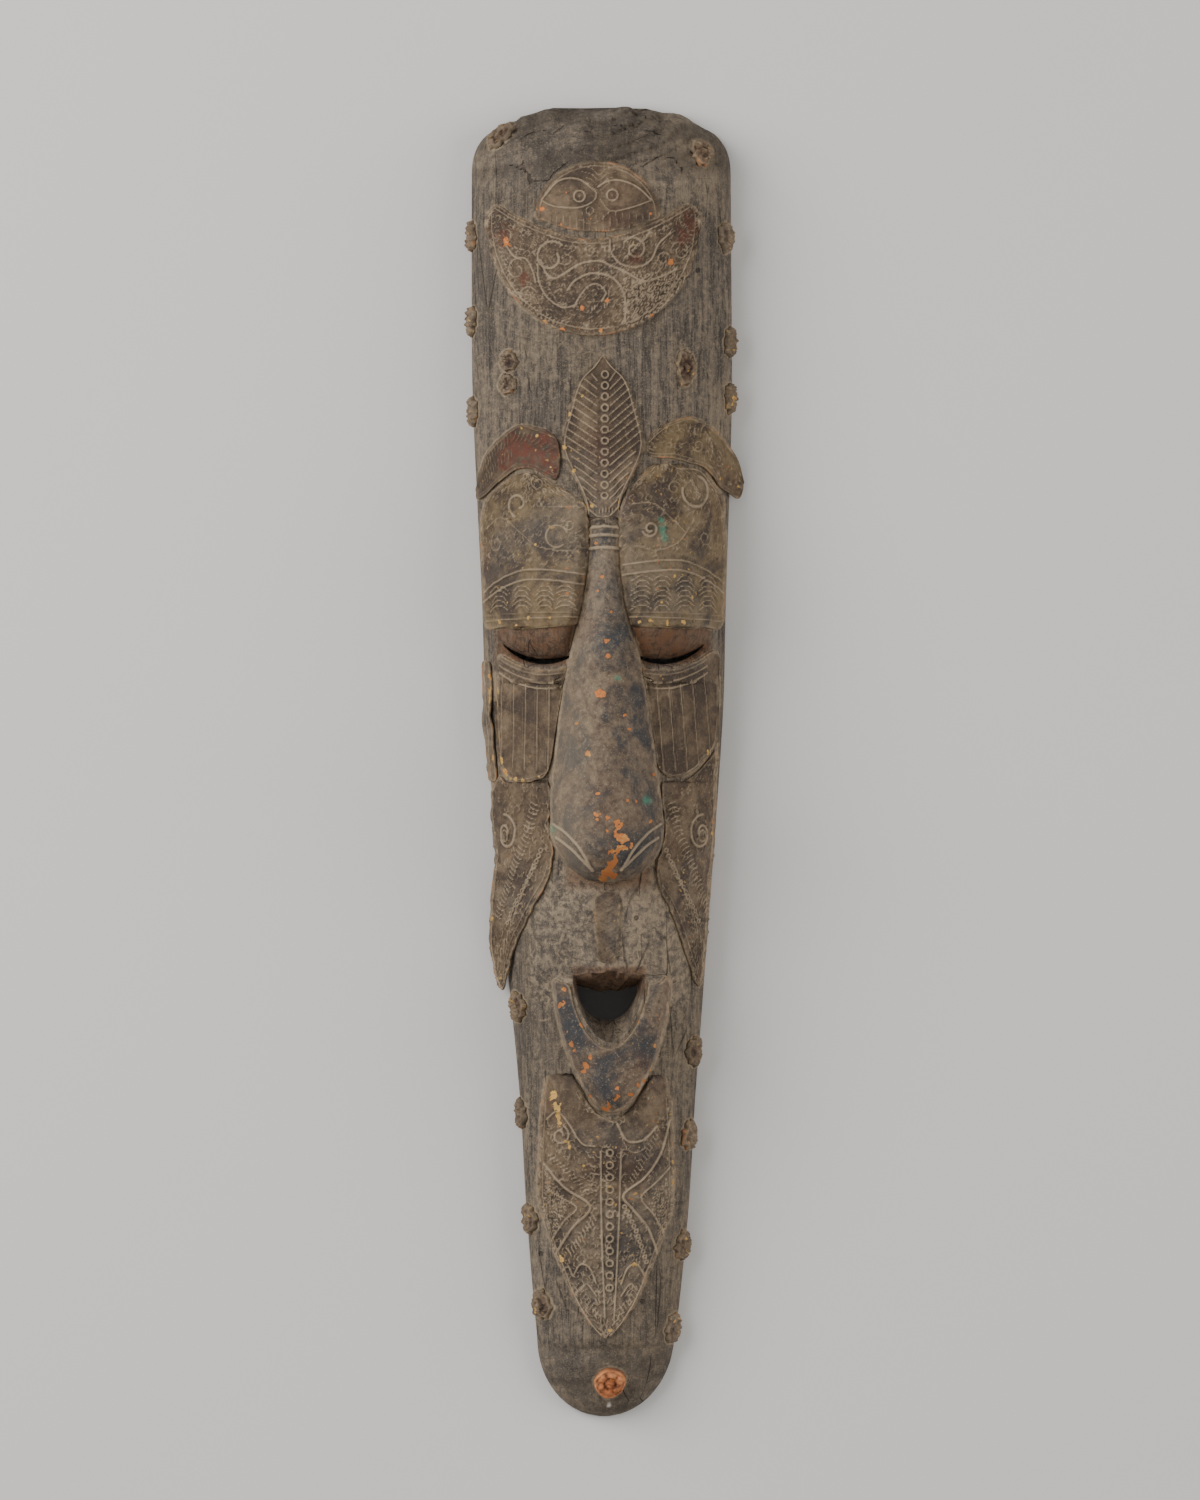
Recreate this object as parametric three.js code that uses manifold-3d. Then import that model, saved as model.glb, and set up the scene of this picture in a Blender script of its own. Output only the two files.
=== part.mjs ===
// A long, narrow ceremonial mask: one board of wood carved as a hollow arch with a face in its
// middle, dressed with thin sheet-metal plates that are beaten in relief, and with rosettes
// along its edges. It lies on its flat back. Millimetres, +Z out of the face, +Y to the crown.
// The carving is laid out in shares of the mask's own size: up() takes per cent of the length
// from the chin, across() takes per cent of the forehead's width from the middle line.
import * as THREE from "three";
import { mergeVertices } from "three/addons/utils/BufferGeometryUtils.js";
import Module from "manifold-3d";

const wasm = await Module();
wasm.setup();

// Driving dimensions
const LENGTH = 460; // chin to crown
const WIDTH = 91; // of the wood, across the forehead
const ARCH_RISE = 36; // front of the plain arch over the flat back
const NOSE_RISE = 23; // crest of the nose over the arch
const LID_RISE = 7; // swell of the eyelids
const MUZZLE_RISE = 5; // swell of the upper lip
const LOWER_LIP_RISE = 9;
const WALL = 9; // wood between the plain arch and the hollow
const RIM = 8; // flat rim round the hollow
const END_WALL = 16; // wood at each end of the hollow
const EYE_SLIT = 3.4; // widest opening of an eye slit
const MOUTH_WIDTH = 21; // of the opening at the bottom of the mouth
const MOUTH_HEIGHT = 11.6;
const MOUTH_FLOOR = 14; // how deep the mouth's sloping sides go below the lips
const SHEET = 0.6; // thickness of the metal plates
const SEAT = 0.3; // gap between a plate and the wood
const PLATE_GAP = 0.8; // between neighbouring plates
const LOOSE_SEAT = 0.7; // gap under the plates that stand off the wood at an edge
const LINE_RISE = 0.7; // raised lines of the beaten patterns
const LINE_WIDTH = 1.1;
const RING_RADIUS = 1.05; // small punched bosses on the leaf and the beard
const ROSETTE_RADIUS = 5.6;
const SMALL_ROSETTE_RADIUS = 3.8;
const ROSETTE_RISE = 1.7;
const CHIN_DISC_RADIUS = 5;

const up = (percent) => LENGTH * (percent / 100 - 0.5);
const across = (percent) => (WIDTH * percent) / 100;

// A smooth curve through [place, value] stations given in falling or rising order.
function through(stations) {
  const sorted = [...stations].sort((a, b) => a[0] - b[0]);
  const slope = (i) => {
    const [a, b] = [Math.max(i - 1, 0), Math.min(i + 1, sorted.length - 1)];
    return (sorted[b][1] - sorted[a][1]) / (sorted[b][0] - sorted[a][0]);
  };
  return (place) => {
    const p = Math.min(Math.max(place, sorted[0][0]), sorted.at(-1)[0]);
    const i = Math.max(1, sorted.findIndex((s) => s[0] >= p)) - 1;
    const [[p0, v0], [p1, v1]] = [sorted[i], sorted[i + 1]];
    const span = p1 - p0;
    const t = (p - p0) / span;
    const [m0, m1] = [slope(i) * span, slope(i + 1) * span];
    return (
      (2 * t ** 3 - 3 * t ** 2 + 1) * v0 +
      (t ** 3 - 2 * t ** 2 + t) * m0 +
      (3 * t ** 2 - 2 * t ** 3) * v1 +
      (t ** 3 - t ** 2) * m1
    );
  };
}

const percentUp = (y) => (y / LENGTH + 0.5) * 100;
const clamp01 = (t) => Math.min(Math.max(t, 0), 1);
const ease = (t) => clamp01(t) ** 2 * (3 - 2 * clamp01(t));
const byHeight = (stations) => {
  const curve = through(stations);
  return (y) => curve(percentUp(y));
};

// Cutters run from below the flat back to well above the face.
const BELOW_BACK = -5;
const HIGH_ABOVE = 100;

// The board: half width, middle line and rise of the arch, by per cent up the mask.
const boardHalf = byHeight([
  [100, 49.8], [85, 50.1], [78, 50], [70, 48.6], [62, 47], [54.5, 45.9], [47, 43.4],
  [39, 40.2], [32, 37.1], [24, 33.7], [16.5, 31.5], [8.7, 28.1], [5.6, 26.3], [0, 25.4],
]);
const boardMiddle = byHeight([
  [100, -0.9], [85, -0.7], [62, 0.2], [39, 0.8], [25, 1.6], [10, 1.3], [0, 0.1],
]);
const archShare = byHeight([
  [100, 94], [86, 97], [75, 100], [55, 98], [40, 93], [33, 88], [25, 77], [16, 65], [8, 55], [0, 46],
]);

// How far an end rounds off, as a share that falls from 1 to 0 over `reach` at the end.
const rounding = (fromEnd, reach, power) =>
  fromEnd >= reach ? 1 : (1 - (1 - Math.max(fromEnd, 0) / reach) ** power) ** (1 / power);
const CROWN_REACH = up(5.4) - up(0);
const CROWN_SLOPE = up(7.6) - up(0);
const CHIN_REACH = up(5.7) - up(0);
const CHIN_SLOPE = up(5) - up(0);
const middleAt = (y) => across(boardMiddle(y));
const halfAt = (y) =>
  across(boardHalf(y)) *
  rounding(LENGTH / 2 - y, CROWN_REACH, 2.5) *
  rounding(LENGTH / 2 + y, CHIN_REACH, 2);
const riseAt = (y) =>
  ((ARCH_RISE * archShare(y)) / 100) *
  rounding(LENGTH / 2 - y, CROWN_SLOPE, 2.2) *
  rounding(LENGTH / 2 + y, CHIN_SLOPE, 2.4);

// Nose: its half width and crest, from the bridge between the lids to the tip over the lip.
const NOSE_TOP = 68;
const NOSE_END = 40.7;
const noseHalf = byHeight([
  [100, 6], [68, 6], [66, 5.9], [62, 8.3], [58.5, 12.2], [55, 15.5], [50, 19.2], [46, 21.2],
  [43.9, 20.9], [42.4, 16.5], [41.3, 9.5], [40.7, 2.5], [0, 2.5],
]);
const noseCrest = byHeight([
  [70, 0], [68, 0.13], [62, 0.28], [58.5, 0.43], [55, 0.57], [50, 0.79], [45.7, 0.98],
  [43.6, 1], [42.2, 0.86], [41.2, 0.56], [40.6, 0],
]);
const noseMiddle = byHeight([[100, 0], [68, 0.4], [50, 0.5], [44, 1.6], [40, 2.2], [0, 1.5]]);

function nose(x, y) {
  const percent = percentUp(y);
  if (percent > 70 || percent < NOSE_END) return 0;
  const u = Math.abs(x - across(noseMiddle(y))) / across(noseHalf(y));
  if (u >= 1) return 0;
  const fullness = 1.9 + 0.9 * ease((52 - percent) / 8); // fuller round the wings
  return NOSE_RISE * noseCrest(y) * (1 - u ** fullness) ** 0.8;
}

// Eyelids: heavy swells from the brows down to the slits, tucked in below the plates' edge.
const LID_EDGE = 60.2; // lower edge of the lid plates
const lidLow = (x) => {
  const away = Math.abs(x) - across(22);
  const lift = away > 0 ? 1.5 * (away / across(19)) ** 2 : 0.4 * (away / across(11)) ** 2;
  return up(57.7 + lift);
};

function lid(x, y) {
  const percent = percentUp(y);
  if (percent > 74 || percent < 56) return 0;
  const low = lidLow(x);
  const inner = ease((Math.abs(x) - across(noseHalf(y))) / across(6) + 0.25);
  const outer = 1 - ease((Math.abs(x) / halfAt(y) - 0.72) / 0.27);
  const tucked = up(LID_EDGE + 0.5) - low;
  const t = clamp01((y - low) / tucked);
  const below = -3 + (LID_RISE + 3) * Math.sqrt(1 - (1 - t) ** 2);
  const above = LID_RISE * ease((74 - percent) / 11);
  const cheek = y < low ? 1 - 4 * ease((y - low) / EYE_SLIT + 1) : 0;
  return (t >= 1 ? above : y < low ? cheek : Math.min(below, above)) * inner * outer;
}

// Mouth and lips.
const MOUTH_MIDDLE = 1.4;
const LIP_LINE = 33.8; // lower edge of the upper lip
const LIP_MIDDLE = 3.4;
const LIP_HALF = 22.9;
const LIP_DEPTH = up(10.5) - up(0);
const lipReach = (x, y) =>
  (Math.abs(x - across(LIP_MIDDLE)) / across(LIP_HALF)) ** 1.7 +
  (Math.max(up(LIP_LINE) - y, 0) / LIP_DEPTH) ** 1.7;

function lowerLip(x, y) {
  const top = ease((up(LIP_LINE + 0.7) - y) / (up(1.2) - up(0)));
  const inside = clamp01((1 - lipReach(x, y)) / 0.4);
  return LOWER_LIP_RISE * Math.sqrt(1 - (1 - inside) ** 2.4) * top;
}

function muzzle(x, y) {
  const percent = percentUp(y);
  const u = Math.abs(x - across(1.5)) / across(32);
  const low = ease((percent - (LIP_LINE - 1)) / 1.4);
  const high = ease((46 - percent) / 10);
  return MUZZLE_RISE * Math.max(0, 1 - u ** 2.2) * low * high;
}

const beardSwell = (x, y) =>
  1.6 * ease((27 - percentUp(y)) / 3) * ease((percentUp(y) - 5.2) / 1.2) *
  Math.max(0, 1 - (Math.abs(x) / across(27)) ** 4);

// Height of the plain arch, and of the carved front, over the flat back.
const sideShare = (x, y) => Math.min(Math.abs(x - middleAt(y)) / Math.max(halfAt(y), 1e-6), 1);
const arch = (x, y) => riseAt(y) * Math.sqrt(1 - sideShare(x, y) ** 2);
const front = (x, y) => {
  const fade = 1 - sideShare(x, y) ** 10;
  const raised = Math.max(nose(x, y), muzzle(x, y), lowerLip(x, y));
  const swell = raised > 0 ? Math.max(raised, lid(x, y)) : lid(x, y);
  return arch(x, y) + fade * (swell + beardSwell(x, y));
};

// Rows along the mask, closer together where the carving turns quickly.
const ROW_ZONES = [
  [92.4, 76, 5.5], [76, 64, 3], [64, 61, 1.5], [61, 56, 1], [56, 46, 3.3], [46, 43.5, 1.25],
  [43.5, 40.4, 0.78], [40.4, 35, 2.7], [35, 32.4, 1.3], [32.4, 26, 2.1], [26, 22.6, 1.1], [22.6, 6.4, 5.4],
  [6.4, 5.1, 0.65],
];
const END_SHARES = [0.4, 0.72, 0.91, 0.985];
function rowHeights() {
  const rows = [100, ...END_SHARES.map((s) => 92.4 + 7.6 * s).reverse()];
  for (const [from, to, step] of ROW_ZONES) {
    const count = Math.round((from - to) / step);
    for (let i = 0; i < count; i++) rows.push(from + ((to - from) * i) / count);
  }
  rows.push(5.1, ...END_SHARES.map((s) => 5.1 - 5.1 * s), 0);
  return rows.map(up);
}

// Columns across the mask: the inner ones follow the nose and lips, the outer ones the arch.
const INNER_COLUMNS = 4;
const OUTER_COLUMNS = 4;
const seam = byHeight([
  [100, 15], [80, 15], [73, 12], [68, 6.3], [62, 8.6], [58.5, 12.5], [55, 15.8], [50, 19.5],
  [45, 21.6], [40, 21], [34, 18], [28, 20], [20, 24], [8, 19], [0, 12],
]);
function columnsAt(y) {
  const half = halfAt(y);
  if (half < 1e-6) return Array(2 * (INNER_COLUMNS + OUTER_COLUMNS) + 1).fill(middleAt(y));
  const inner = Math.min(across(seam(y)), 0.55 * half);
  const start = Math.asin(inner / half);
  const right = [];
  for (let k = 1; k <= INNER_COLUMNS; k++) right.push((inner * k) / INNER_COLUMNS);
  for (let k = 1; k <= OUTER_COLUMNS; k++)
    right.push(half * Math.sin(start + ((Math.PI / 2 - start) * k) / OUTER_COLUMNS));
  return [...right.map((x) => -x).reverse(), 0, ...right].map((x) => middleAt(y) + x);
}

// A closed solid from loose triangles, the ones with no area left out.
function solidOf(triangles) {
  const geometry = new THREE.BufferGeometry();
  const positions = new Float32Array(triangles.flat().flatMap((p) => [p.x, p.y, p.z]));
  geometry.setAttribute("position", new THREE.BufferAttribute(positions, 3));
  const merged = mergeVertices(geometry, 1e-4);
  const index = [...merged.index.array];
  const kept = [];
  for (let i = 0; i < index.length; i += 3) {
    const [a, b, c] = index.slice(i, i + 3);
    if (a !== b && b !== c && c !== a) kept.push(a, b, c);
  }
  return new wasm.Manifold(
    new wasm.Mesh({
      numProp: 3,
      vertProperties: merged.attributes.position.array,
      triVerts: new Uint32Array(kept),
    }),
  );
}

// The loose triangles of one of the library's own geometries.
function trianglesOf(geometry) {
  const corners = (geometry.index ? geometry.toNonIndexed() : geometry).attributes.position;
  const corner = (i) => new THREE.Vector3().fromBufferAttribute(corners, i);
  const made = [];
  for (let i = 0; i < corners.count; i += 3) made.push([corner(i), corner(i + 1), corner(i + 2)]);
  return made;
}

// Triangles of a grid of points, facing +Z when rows fall in Y and columns rise in X.
function gridTriangles(rows) {
  const made = [];
  for (let i = 0; i + 1 < rows.length; i++)
    for (let j = 0; j + 1 < rows[i].length; j++) {
      const [a, b, c, d] = [rows[i][j], rows[i + 1][j], rows[i + 1][j + 1], rows[i][j + 1]];
      made.push([a, b, c], [a, c, d]);
    }
  return made;
}
const turned = (triangles) => triangles.map(([a, b, c]) => [a, c, b]);

// A solid from triangles that may all face in.
function facingOut(triangles) {
  const solid = solidOf(triangles);
  return solid.volume() < 0 ? solidOf(turned(triangles)) : solid;
}

// The solid between an upper and a lower grid of the same rows and columns.
function between(upper, lower) {
  const made = [...gridTriangles(upper), ...turned(gridTriangles(lower))];
  const border = (rows) => [
    ...rows[0],
    ...rows.slice(1).map((r) => r.at(-1)),
    ...rows.at(-1).slice(0, -1).reverse(),
    ...rows.slice(1, -1).map((r) => r[0]).reverse(),
  ];
  const [high, low] = [border(upper), border(lower)];
  high.forEach((p, i) => {
    const next = (i + 1) % high.length;
    made.push([p, high[next], low[i]], [high[next], low[next], low[i]]);
  });
  return solidOf(made);
}

const HEIGHTS = rowHeights();
const FRONT_ROWS = HEIGHTS.map((y) =>
  columnsAt(y).map((x) => new THREE.Vector3(x, y, Math.max(front(x, y), 0))),
);

// The direction off the wood at each corner of its facets.
function cornerNormals() {
  const columns = FRONT_ROWS[0].length;
  const corner = (i, j) => i * columns + j;
  const index = [];
  for (let i = 0; i + 1 < FRONT_ROWS.length; i++)
    for (let j = 0; j + 1 < columns; j++) {
      const [a, b, c, d] = [corner(i, j), corner(i + 1, j), corner(i + 1, j + 1), corner(i, j + 1)];
      index.push(a, b, c, a, c, d);
    }
  const surface = new THREE.BufferGeometry().setFromPoints(FRONT_ROWS.flat()).setIndex(index);
  surface.computeVertexNormals();
  const normals = surface.attributes.normal;
  return FRONT_ROWS.map((row, i) =>
    row.map((_, j) => new THREE.Vector3().fromBufferAttribute(normals, corner(i, j))),
  );
}
const NORMALS = cornerNormals();

// Sheet metal lies over all of the front but its ends, and each plate is a part of that skin.
const PLATED = [2, -2];
const liftedRows = (by) => {
  const normals = NORMALS.slice(...PLATED);
  const lift = (p, i, j) => p.clone().addScaledVector(normals[i][j], by);
  return FRONT_ROWS.slice(...PLATED).map((row, i) => row.map((p, j) => lift(p, i, j)));
};
const metalSkin = between(liftedRows(SEAT + SHEET), liftedRows(SEAT));
const belowSkin = between(
  liftedRows(SEAT),
  liftedRows(0).map((row) => row.map((p) => p.clone().setZ(BELOW_BACK))),
);

// Everything inside an outline seen from the front
function prism(outline) {
  const shape = new THREE.Shape(outline.map(([x, y]) => new THREE.Vector2(x, y)));
  const depth = HIGH_ABOVE - BELOW_BACK;
  const geometry = new THREE.ExtrudeGeometry(shape, { depth, bevelEnabled: false });
  geometry.translate(0, 0, BELOW_BACK);
  return solidOf(trianglesOf(geometry));
}
const plate = (outline) => metalSkin.intersect(prism(outline));

// The wood's facet, as built, under a place on the front: its point there and its direction.
function facetAt(x, y) {
  const i = Math.min(Math.max(HEIGHTS.findIndex((h) => h <= y), 1), HEIGHTS.length - 1) - 1;
  const [upper, lower] = [FRONT_ROWS[i], FRONT_ROWS[i + 1]];
  const t = (upper[0].y - y) / (upper[0].y - lower[0].y);
  const place = (from, to) => upper[from].x + (lower[to].x - upper[from].x) * t;
  let j = 0;
  while (j < upper.length - 2 && place(j + 1, j + 1) < x) j++;
  const corners =
    x < place(j, j + 1) ? [upper[j], lower[j], lower[j + 1]] : [upper[j], lower[j + 1], upper[j + 1]];
  const facet = new THREE.Plane().setFromCoplanarPoints(...corners);
  const { normal } = facet;
  const z = -(facet.constant + normal.x * x + normal.y * y) / normal.z;
  return { point: new THREE.Vector3(x, y, z), normal };
}

// Raised lines and bosses that are beaten into a plate, standing on its outer face.
function skinPoint(x, y, lift) {
  const { point, normal } = facetAt(x, y);
  return point.addScaledVector(normal, SEAT + SHEET + lift);
}
const ROOT = 0.45; // how deep a line or boss is let into its plate
const LINE_STEP = 7; // longest straight stretch of a raised line

function withSteps(points) {
  const made = [points[0]];
  for (let i = 1; i < points.length; i++) {
    const [[x0, y0], [x1, y1]] = [points[i - 1], points[i]];
    const count = Math.ceil(Math.hypot(x1 - x0, y1 - y0) / LINE_STEP);
    for (const t of span(1 / count, 1, count - 1)) made.push([x0 + (x1 - x0) * t, y0 + (y1 - y0) * t]);
  }
  return made;
}

function line(route, width = LINE_WIDTH, rise = LINE_RISE) {
  const points = withSteps(route);
  const rows = points.map(([x, y], i) => {
    const [a, b] = [points[Math.max(i - 1, 0)], points[Math.min(i + 1, points.length - 1)]];
    const side = new THREE.Vector2(b[1] - a[1], a[0] - b[0]).normalize().multiplyScalar(width / 2);
    return [
      skinPoint(x - side.x, y - side.y, -ROOT),
      skinPoint(x, y, rise),
      skinPoint(x + side.x, y + side.y, -ROOT),
    ];
  });
  const made = [];
  for (let i = 0; i + 1 < rows.length; i++)
    for (let k = 0; k < 3; k++) {
      const [a, b] = [rows[i][k], rows[i][(k + 1) % 3]];
      const [c, d] = [rows[i + 1][k], rows[i + 1][(k + 1) % 3]];
      made.push([a, c, b], [b, c, d]);
    }
  const [first, last] = [rows[0], rows.at(-1)];
  made.push([first[0], first[1], first[2]], [last[0], last[2], last[1]]);
  return facingOut(made);
}

// Turns a lathe profile of [radius, height] pairs into a solid stood on the front at x, y.
function stood(profile, sides, x, y, lift, stretch = 1) {
  const geometry = new THREE.LatheGeometry(profile.map(([r, h]) => new THREE.Vector2(r, h)), sides);
  geometry.rotateX(Math.PI / 2);
  geometry.scale(1, stretch, 1);
  const { point, normal } = facetAt(x, y);
  geometry.applyQuaternion(
    new THREE.Quaternion().setFromUnitVectors(new THREE.Vector3(0, 0, 1), normal),
  );
  const foot = point.addScaledVector(normal, lift);
  geometry.translate(foot.x, foot.y, foot.z);
  return facingOut(trianglesOf(geometry));
}
const boss = (x, y, radius = RING_RADIUS) =>
  stood(
    [[0, 0], [radius, 0], [0.6 * radius, ROOT + LINE_RISE], [0, ROOT + LINE_RISE]],
    5, x, y, SEAT + SHEET - ROOT,
  );
const withDetails = (base, details) =>
  details.reduce((whole, piece) => whole.add(piece), base).subtract(belowSkin);

// Curves for outlines and patterns
const span = (from, to, count) =>
  Array.from({ length: count + 1 }, (_, i) => from + ((to - from) * i) / Math.max(count, 1));
const at = (points) => points.map(([x, y]) => [across(x), up(y)]);
const smooth = (points, count) =>
  new THREE.SplineCurve(at(points).map(([x, y]) => new THREE.Vector2(x, y)))
    .getPoints(count)
    .map((p) => [p.x, p.y]);
function scroll(x, y, size, from, turns, count = 6) {
  return span(0, 1, count).map((t) => {
    const angle = from + 2 * Math.PI * turns * t;
    const radius = size * (1 - 0.68 * t);
    return [across(x) + radius * Math.cos(angle), up(y) + radius * Math.sin(angle)];
  });
}

// Wooden body: the carved arch, hollowed from the back and pierced at the eyes and the mouth.
function hollow() {
  const [low, high] = [-LENGTH / 2 + END_WALL, LENGTH / 2 - END_WALL];
  const rows = span(high, low, 16).map((y) => {
    const fromEnd = Math.min(high - y, y - low);
    const share = Math.max(rounding(fromEnd, 3 * END_WALL, 2.2), 0.04);
    const half = (across(boardHalf(y)) - RIM) * Math.max(share, 0.35);
    const rise = ((ARCH_RISE * archShare(y)) / 100 - WALL) * share;
    return span(-Math.PI / 2, Math.PI / 2, 10).map(
      (a) => new THREE.Vector3(middleAt(y) + half * Math.sin(a), y, rise * Math.cos(a)),
    );
  });
  const floor = rows.map((row) => row.map((p) => p.clone().setZ(BELOW_BACK)));
  return between(rows, floor);
}

function eyeSlit(side) {
  const ends = [side * across(11.5), side * across(38.5)].sort((a, b) => a - b);
  const xs = span(ends[0], ends[1], 9);
  const opening = (x) => {
    const t = (x - ends[0]) / (ends[1] - ends[0]);
    const towardsNose = side < 0 ? t : 1 - t;
    return EYE_SLIT * clamp01(Math.min(towardsNose * 2.6, 1) - 0.25 * ease((towardsNose - 0.75) * 4));
  };
  const top = xs.map((x) => [x, lidLow(x)]);
  const bottom = xs.map((x) => [x, lidLow(x) - opening(x)]).reverse();
  const outline = side < 0 ? [...top, ...bottom.slice(0, -1)] : [...top, ...bottom.slice(1)];
  return prism(outline);
}

// The mouth narrows from the lips' edge to a smaller opening into the hollow.
function mouthRing(middle, half, top, depth, power) {
  const under = span(0, Math.PI, 12).map((a) => {
    const [c, s] = [Math.cos(a), Math.sin(a)];
    const reach = (Math.abs(c) ** power + s ** power) ** (-1 / power);
    return [middle - half * reach * c, top - depth * reach * s];
  });
  const over = span(0.75, -0.75, 3).map((s) => [middle + half * s, top]);
  return [...under, ...over];
}
const MOUTH_EDGE = mouthRing(across(2.2), across(14), up(LIP_LINE), up(5.1) - up(0), 1.7);
const MOUTH_OPENING = mouthRing(across(MOUTH_MIDDLE), MOUTH_WIDTH / 2, up(32.8), MOUTH_HEIGHT, 2);

function mouth() {
  const lips = front(across(14.5), up(31));
  const levels = [
    [MOUTH_OPENING, BELOW_BACK],
    [MOUTH_OPENING, lips - MOUTH_FLOOR],
    [MOUTH_EDGE, lips - 0.5],
    [MOUTH_EDGE, HIGH_ABOVE],
  ].map(([ring, z]) => ring.map(([x, y]) => new THREE.Vector3(x, y, z)));
  const made = [];
  const fan = (ring) => {
    const middle = ring.reduce((sum, p) => sum.add(p), new THREE.Vector3()).divideScalar(ring.length);
    return ring.map((p, i) => [middle, p, ring[(i + 1) % ring.length]]);
  };
  levels.slice(1).forEach((high, k) => {
    const low = levels[k];
    low.forEach((p, i) => {
      const next = (i + 1) % low.length;
      made.push([p, low[next], high[i]], [low[next], high[next], high[i]]);
    });
  });
  made.push(...turned(fan(levels[0])), ...fan(levels.at(-1)));
  return facingOut(made);
}

function woodenBody() {
  const flatBack = FRONT_ROWS.map((row) => [row[0], row.at(-1)].map((p) => p.clone().setZ(0)));
  const arched = solidOf([...gridTriangles(FRONT_ROWS), ...turned(gridTriangles(flatBack))]);
  return arched.subtract(hollow()).subtract(eyeSlit(-1)).subtract(eyeSlit(1)).subtract(mouth());
}

// Forehead plates
function halfMoon() {
  const [middle, half, foot] = [-2.3, 23.7, 91.15];
  const dome = span(0, Math.PI, 10).map((a) => [
    middle - half * Math.cos(a),
    foot + 4.15 * Math.sin(a),
  ]);
  const base = span(0.8, -0.8, 4).map((s) => [middle + half * s, foot - 1.15 * (1 - s ** 2)]);
  const eye = (side) => [
    line(at([[2, 92.6], [11, 93.7], [19, 92.5]].map(([x, y]) => [middle + side * x, y]))),
    boss(across(middle + side * 7), up(92.7), 1.4),
  ];
  return withDetails(plate(at([...dome, ...base])), [...eye(-1), ...eye(1)]);
}

const crescentOuter = (a) => [-3.8 - 40.3 * Math.cos(a), 91 - 8.85 * Math.sin(a)];
const crescentInner = (x) => [x, 89.45 + 2.75 * (Math.abs(x + 4.5) / 36) ** 1.8];
function crescent() {
  const outer = span(-0.05, Math.PI + 0.05, 14).map(crescentOuter);
  const inner = span(32, -41, 9).map(crescentInner);
  const scrolls = [
    line(scroll(-20, 87, 6.4, 0.5 * Math.PI, 0.8)),
    line(scroll(12, 87.9, 6.4, 0.5 * Math.PI, 0.9)),
    line(smooth([[-26, 85.6], [-17, 84.2], [-7, 86.4], [5, 86.6], [15, 84.9], [25, 86.4], [33, 88.6]], 9)),
  ];
  return withDetails(plate(at([...outer, ...inner])), scrolls);
}

const LEAF_TIP = 80.6;
const LEAF_FOOT = 68.3;
const leafHalf = byHeight([
  [100, 0.3], [80.6, 0.3], [78.8, 8.5], [76, 13.3], [73.8, 15.6], [72.3, 12.9], [69.9, 7.7], [68.2, 6.1],
]);
function leaf() {
  const ys = span(LEAF_TIP, LEAF_FOOT, 8);
  const edge = (side) => ys.map((y) => [side * leafHalf(up(y)) - 0.2, y]);
  const veins = [];
  for (const side of [-1, 1])
    for (const y of span(70.4, 77.2, 3)) {
      const reach = leafHalf(up(y + 0.9)) * 0.86;
      if (reach > 5) veins.push(line(at([[side * 2.6, y], [side * reach, y + 0.055 * reach]])));
    }
  const midrib = line(at(span(79, 69.6, 4).map((y) => [0, y])), 2 * RING_RADIUS);
  return withDetails(plate(at([...edge(-1), ...edge(1).reverse()])), [...veins, midrib]);
}

// Height of a sheet that leaves the arch along its own slope past a given place.
function leaving(from) {
  const step = 0.5;
  return (x, y) => {
    if ((x - from) * Math.sign(from) <= 0) return front(x, y);
    const slope = (arch(from + step, y) - arch(from - step, y)) / (2 * step);
    return Math.max(front(x, y), arch(from, y) + slope * (x - from));
  };
}

// A skin like the metal's over such a height, for a plate that stands off the wood at its edge.
function skinOver(height, xs, ys) {
  const step = 0.5;
  const lifted = (by) =>
    ys.map((y) =>
      xs.map((x) => {
        const slopeX = (height(x + step, y) - height(x - step, y)) / (2 * step);
        const slopeY = (height(x, y + step) - height(x, y - step)) / (2 * step);
        const off = new THREE.Vector3(-slopeX, -slopeY, 1).setLength(by);
        return off.add(new THREE.Vector3(x, y, height(x, y)));
      }),
    );
  return between(lifted(LOOSE_SEAT + SHEET), lifted(LOOSE_SEAT));
}

// Brow plates: arched bands over the lids; the right one stands off the mask at its outer end.
function brow(side) {
  const left = side < 0;
  const upper = left
    ? [[16.8, 74.4], [24, 75.1], [31.4, 75.5], [38, 74.6], [44.5, 73], [46.8, 71.4]]
    : [[16.6, 74.3], [22, 75.3], [28, 75.9], [34, 76.1], [41.3, 75.3], [47, 74.1], [50, 73.4], [53, 71.6]];
  const lower = left
    ? [[46.4, 70.2], [43.5, 70.6], [38.5, 71.3], [33, 72.1], [27, 72.2], [22, 71.8], [17.5, 71.4]]
    : [[52.6, 69.9], [49, 70.1], [46, 70.5], [44, 70.8], [40, 72], [34, 72.5], [27, 72.9], [21, 72.9],
       [16.8, 73]];
  const outline = at([...upper, ...lower].map(([x, y]) => [side * x, y]));
  const middle = left ? [[20, 73.3], [29, 73.9], [40, 72.7]] : [[20, 74.1], [30, 74.6], [42, 73]];
  const rib = line(smooth(middle.map(([x, y]) => [side * x, y]), 4));
  const standing = () =>
    skinOver(leaving(across(43.5)), span(15, 54, 9).map(across), span(77, 69, 4).map(up));
  return withDetails(left ? plate(outline) : standing().intersect(prism(outline)), [rib]);
}

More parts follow.
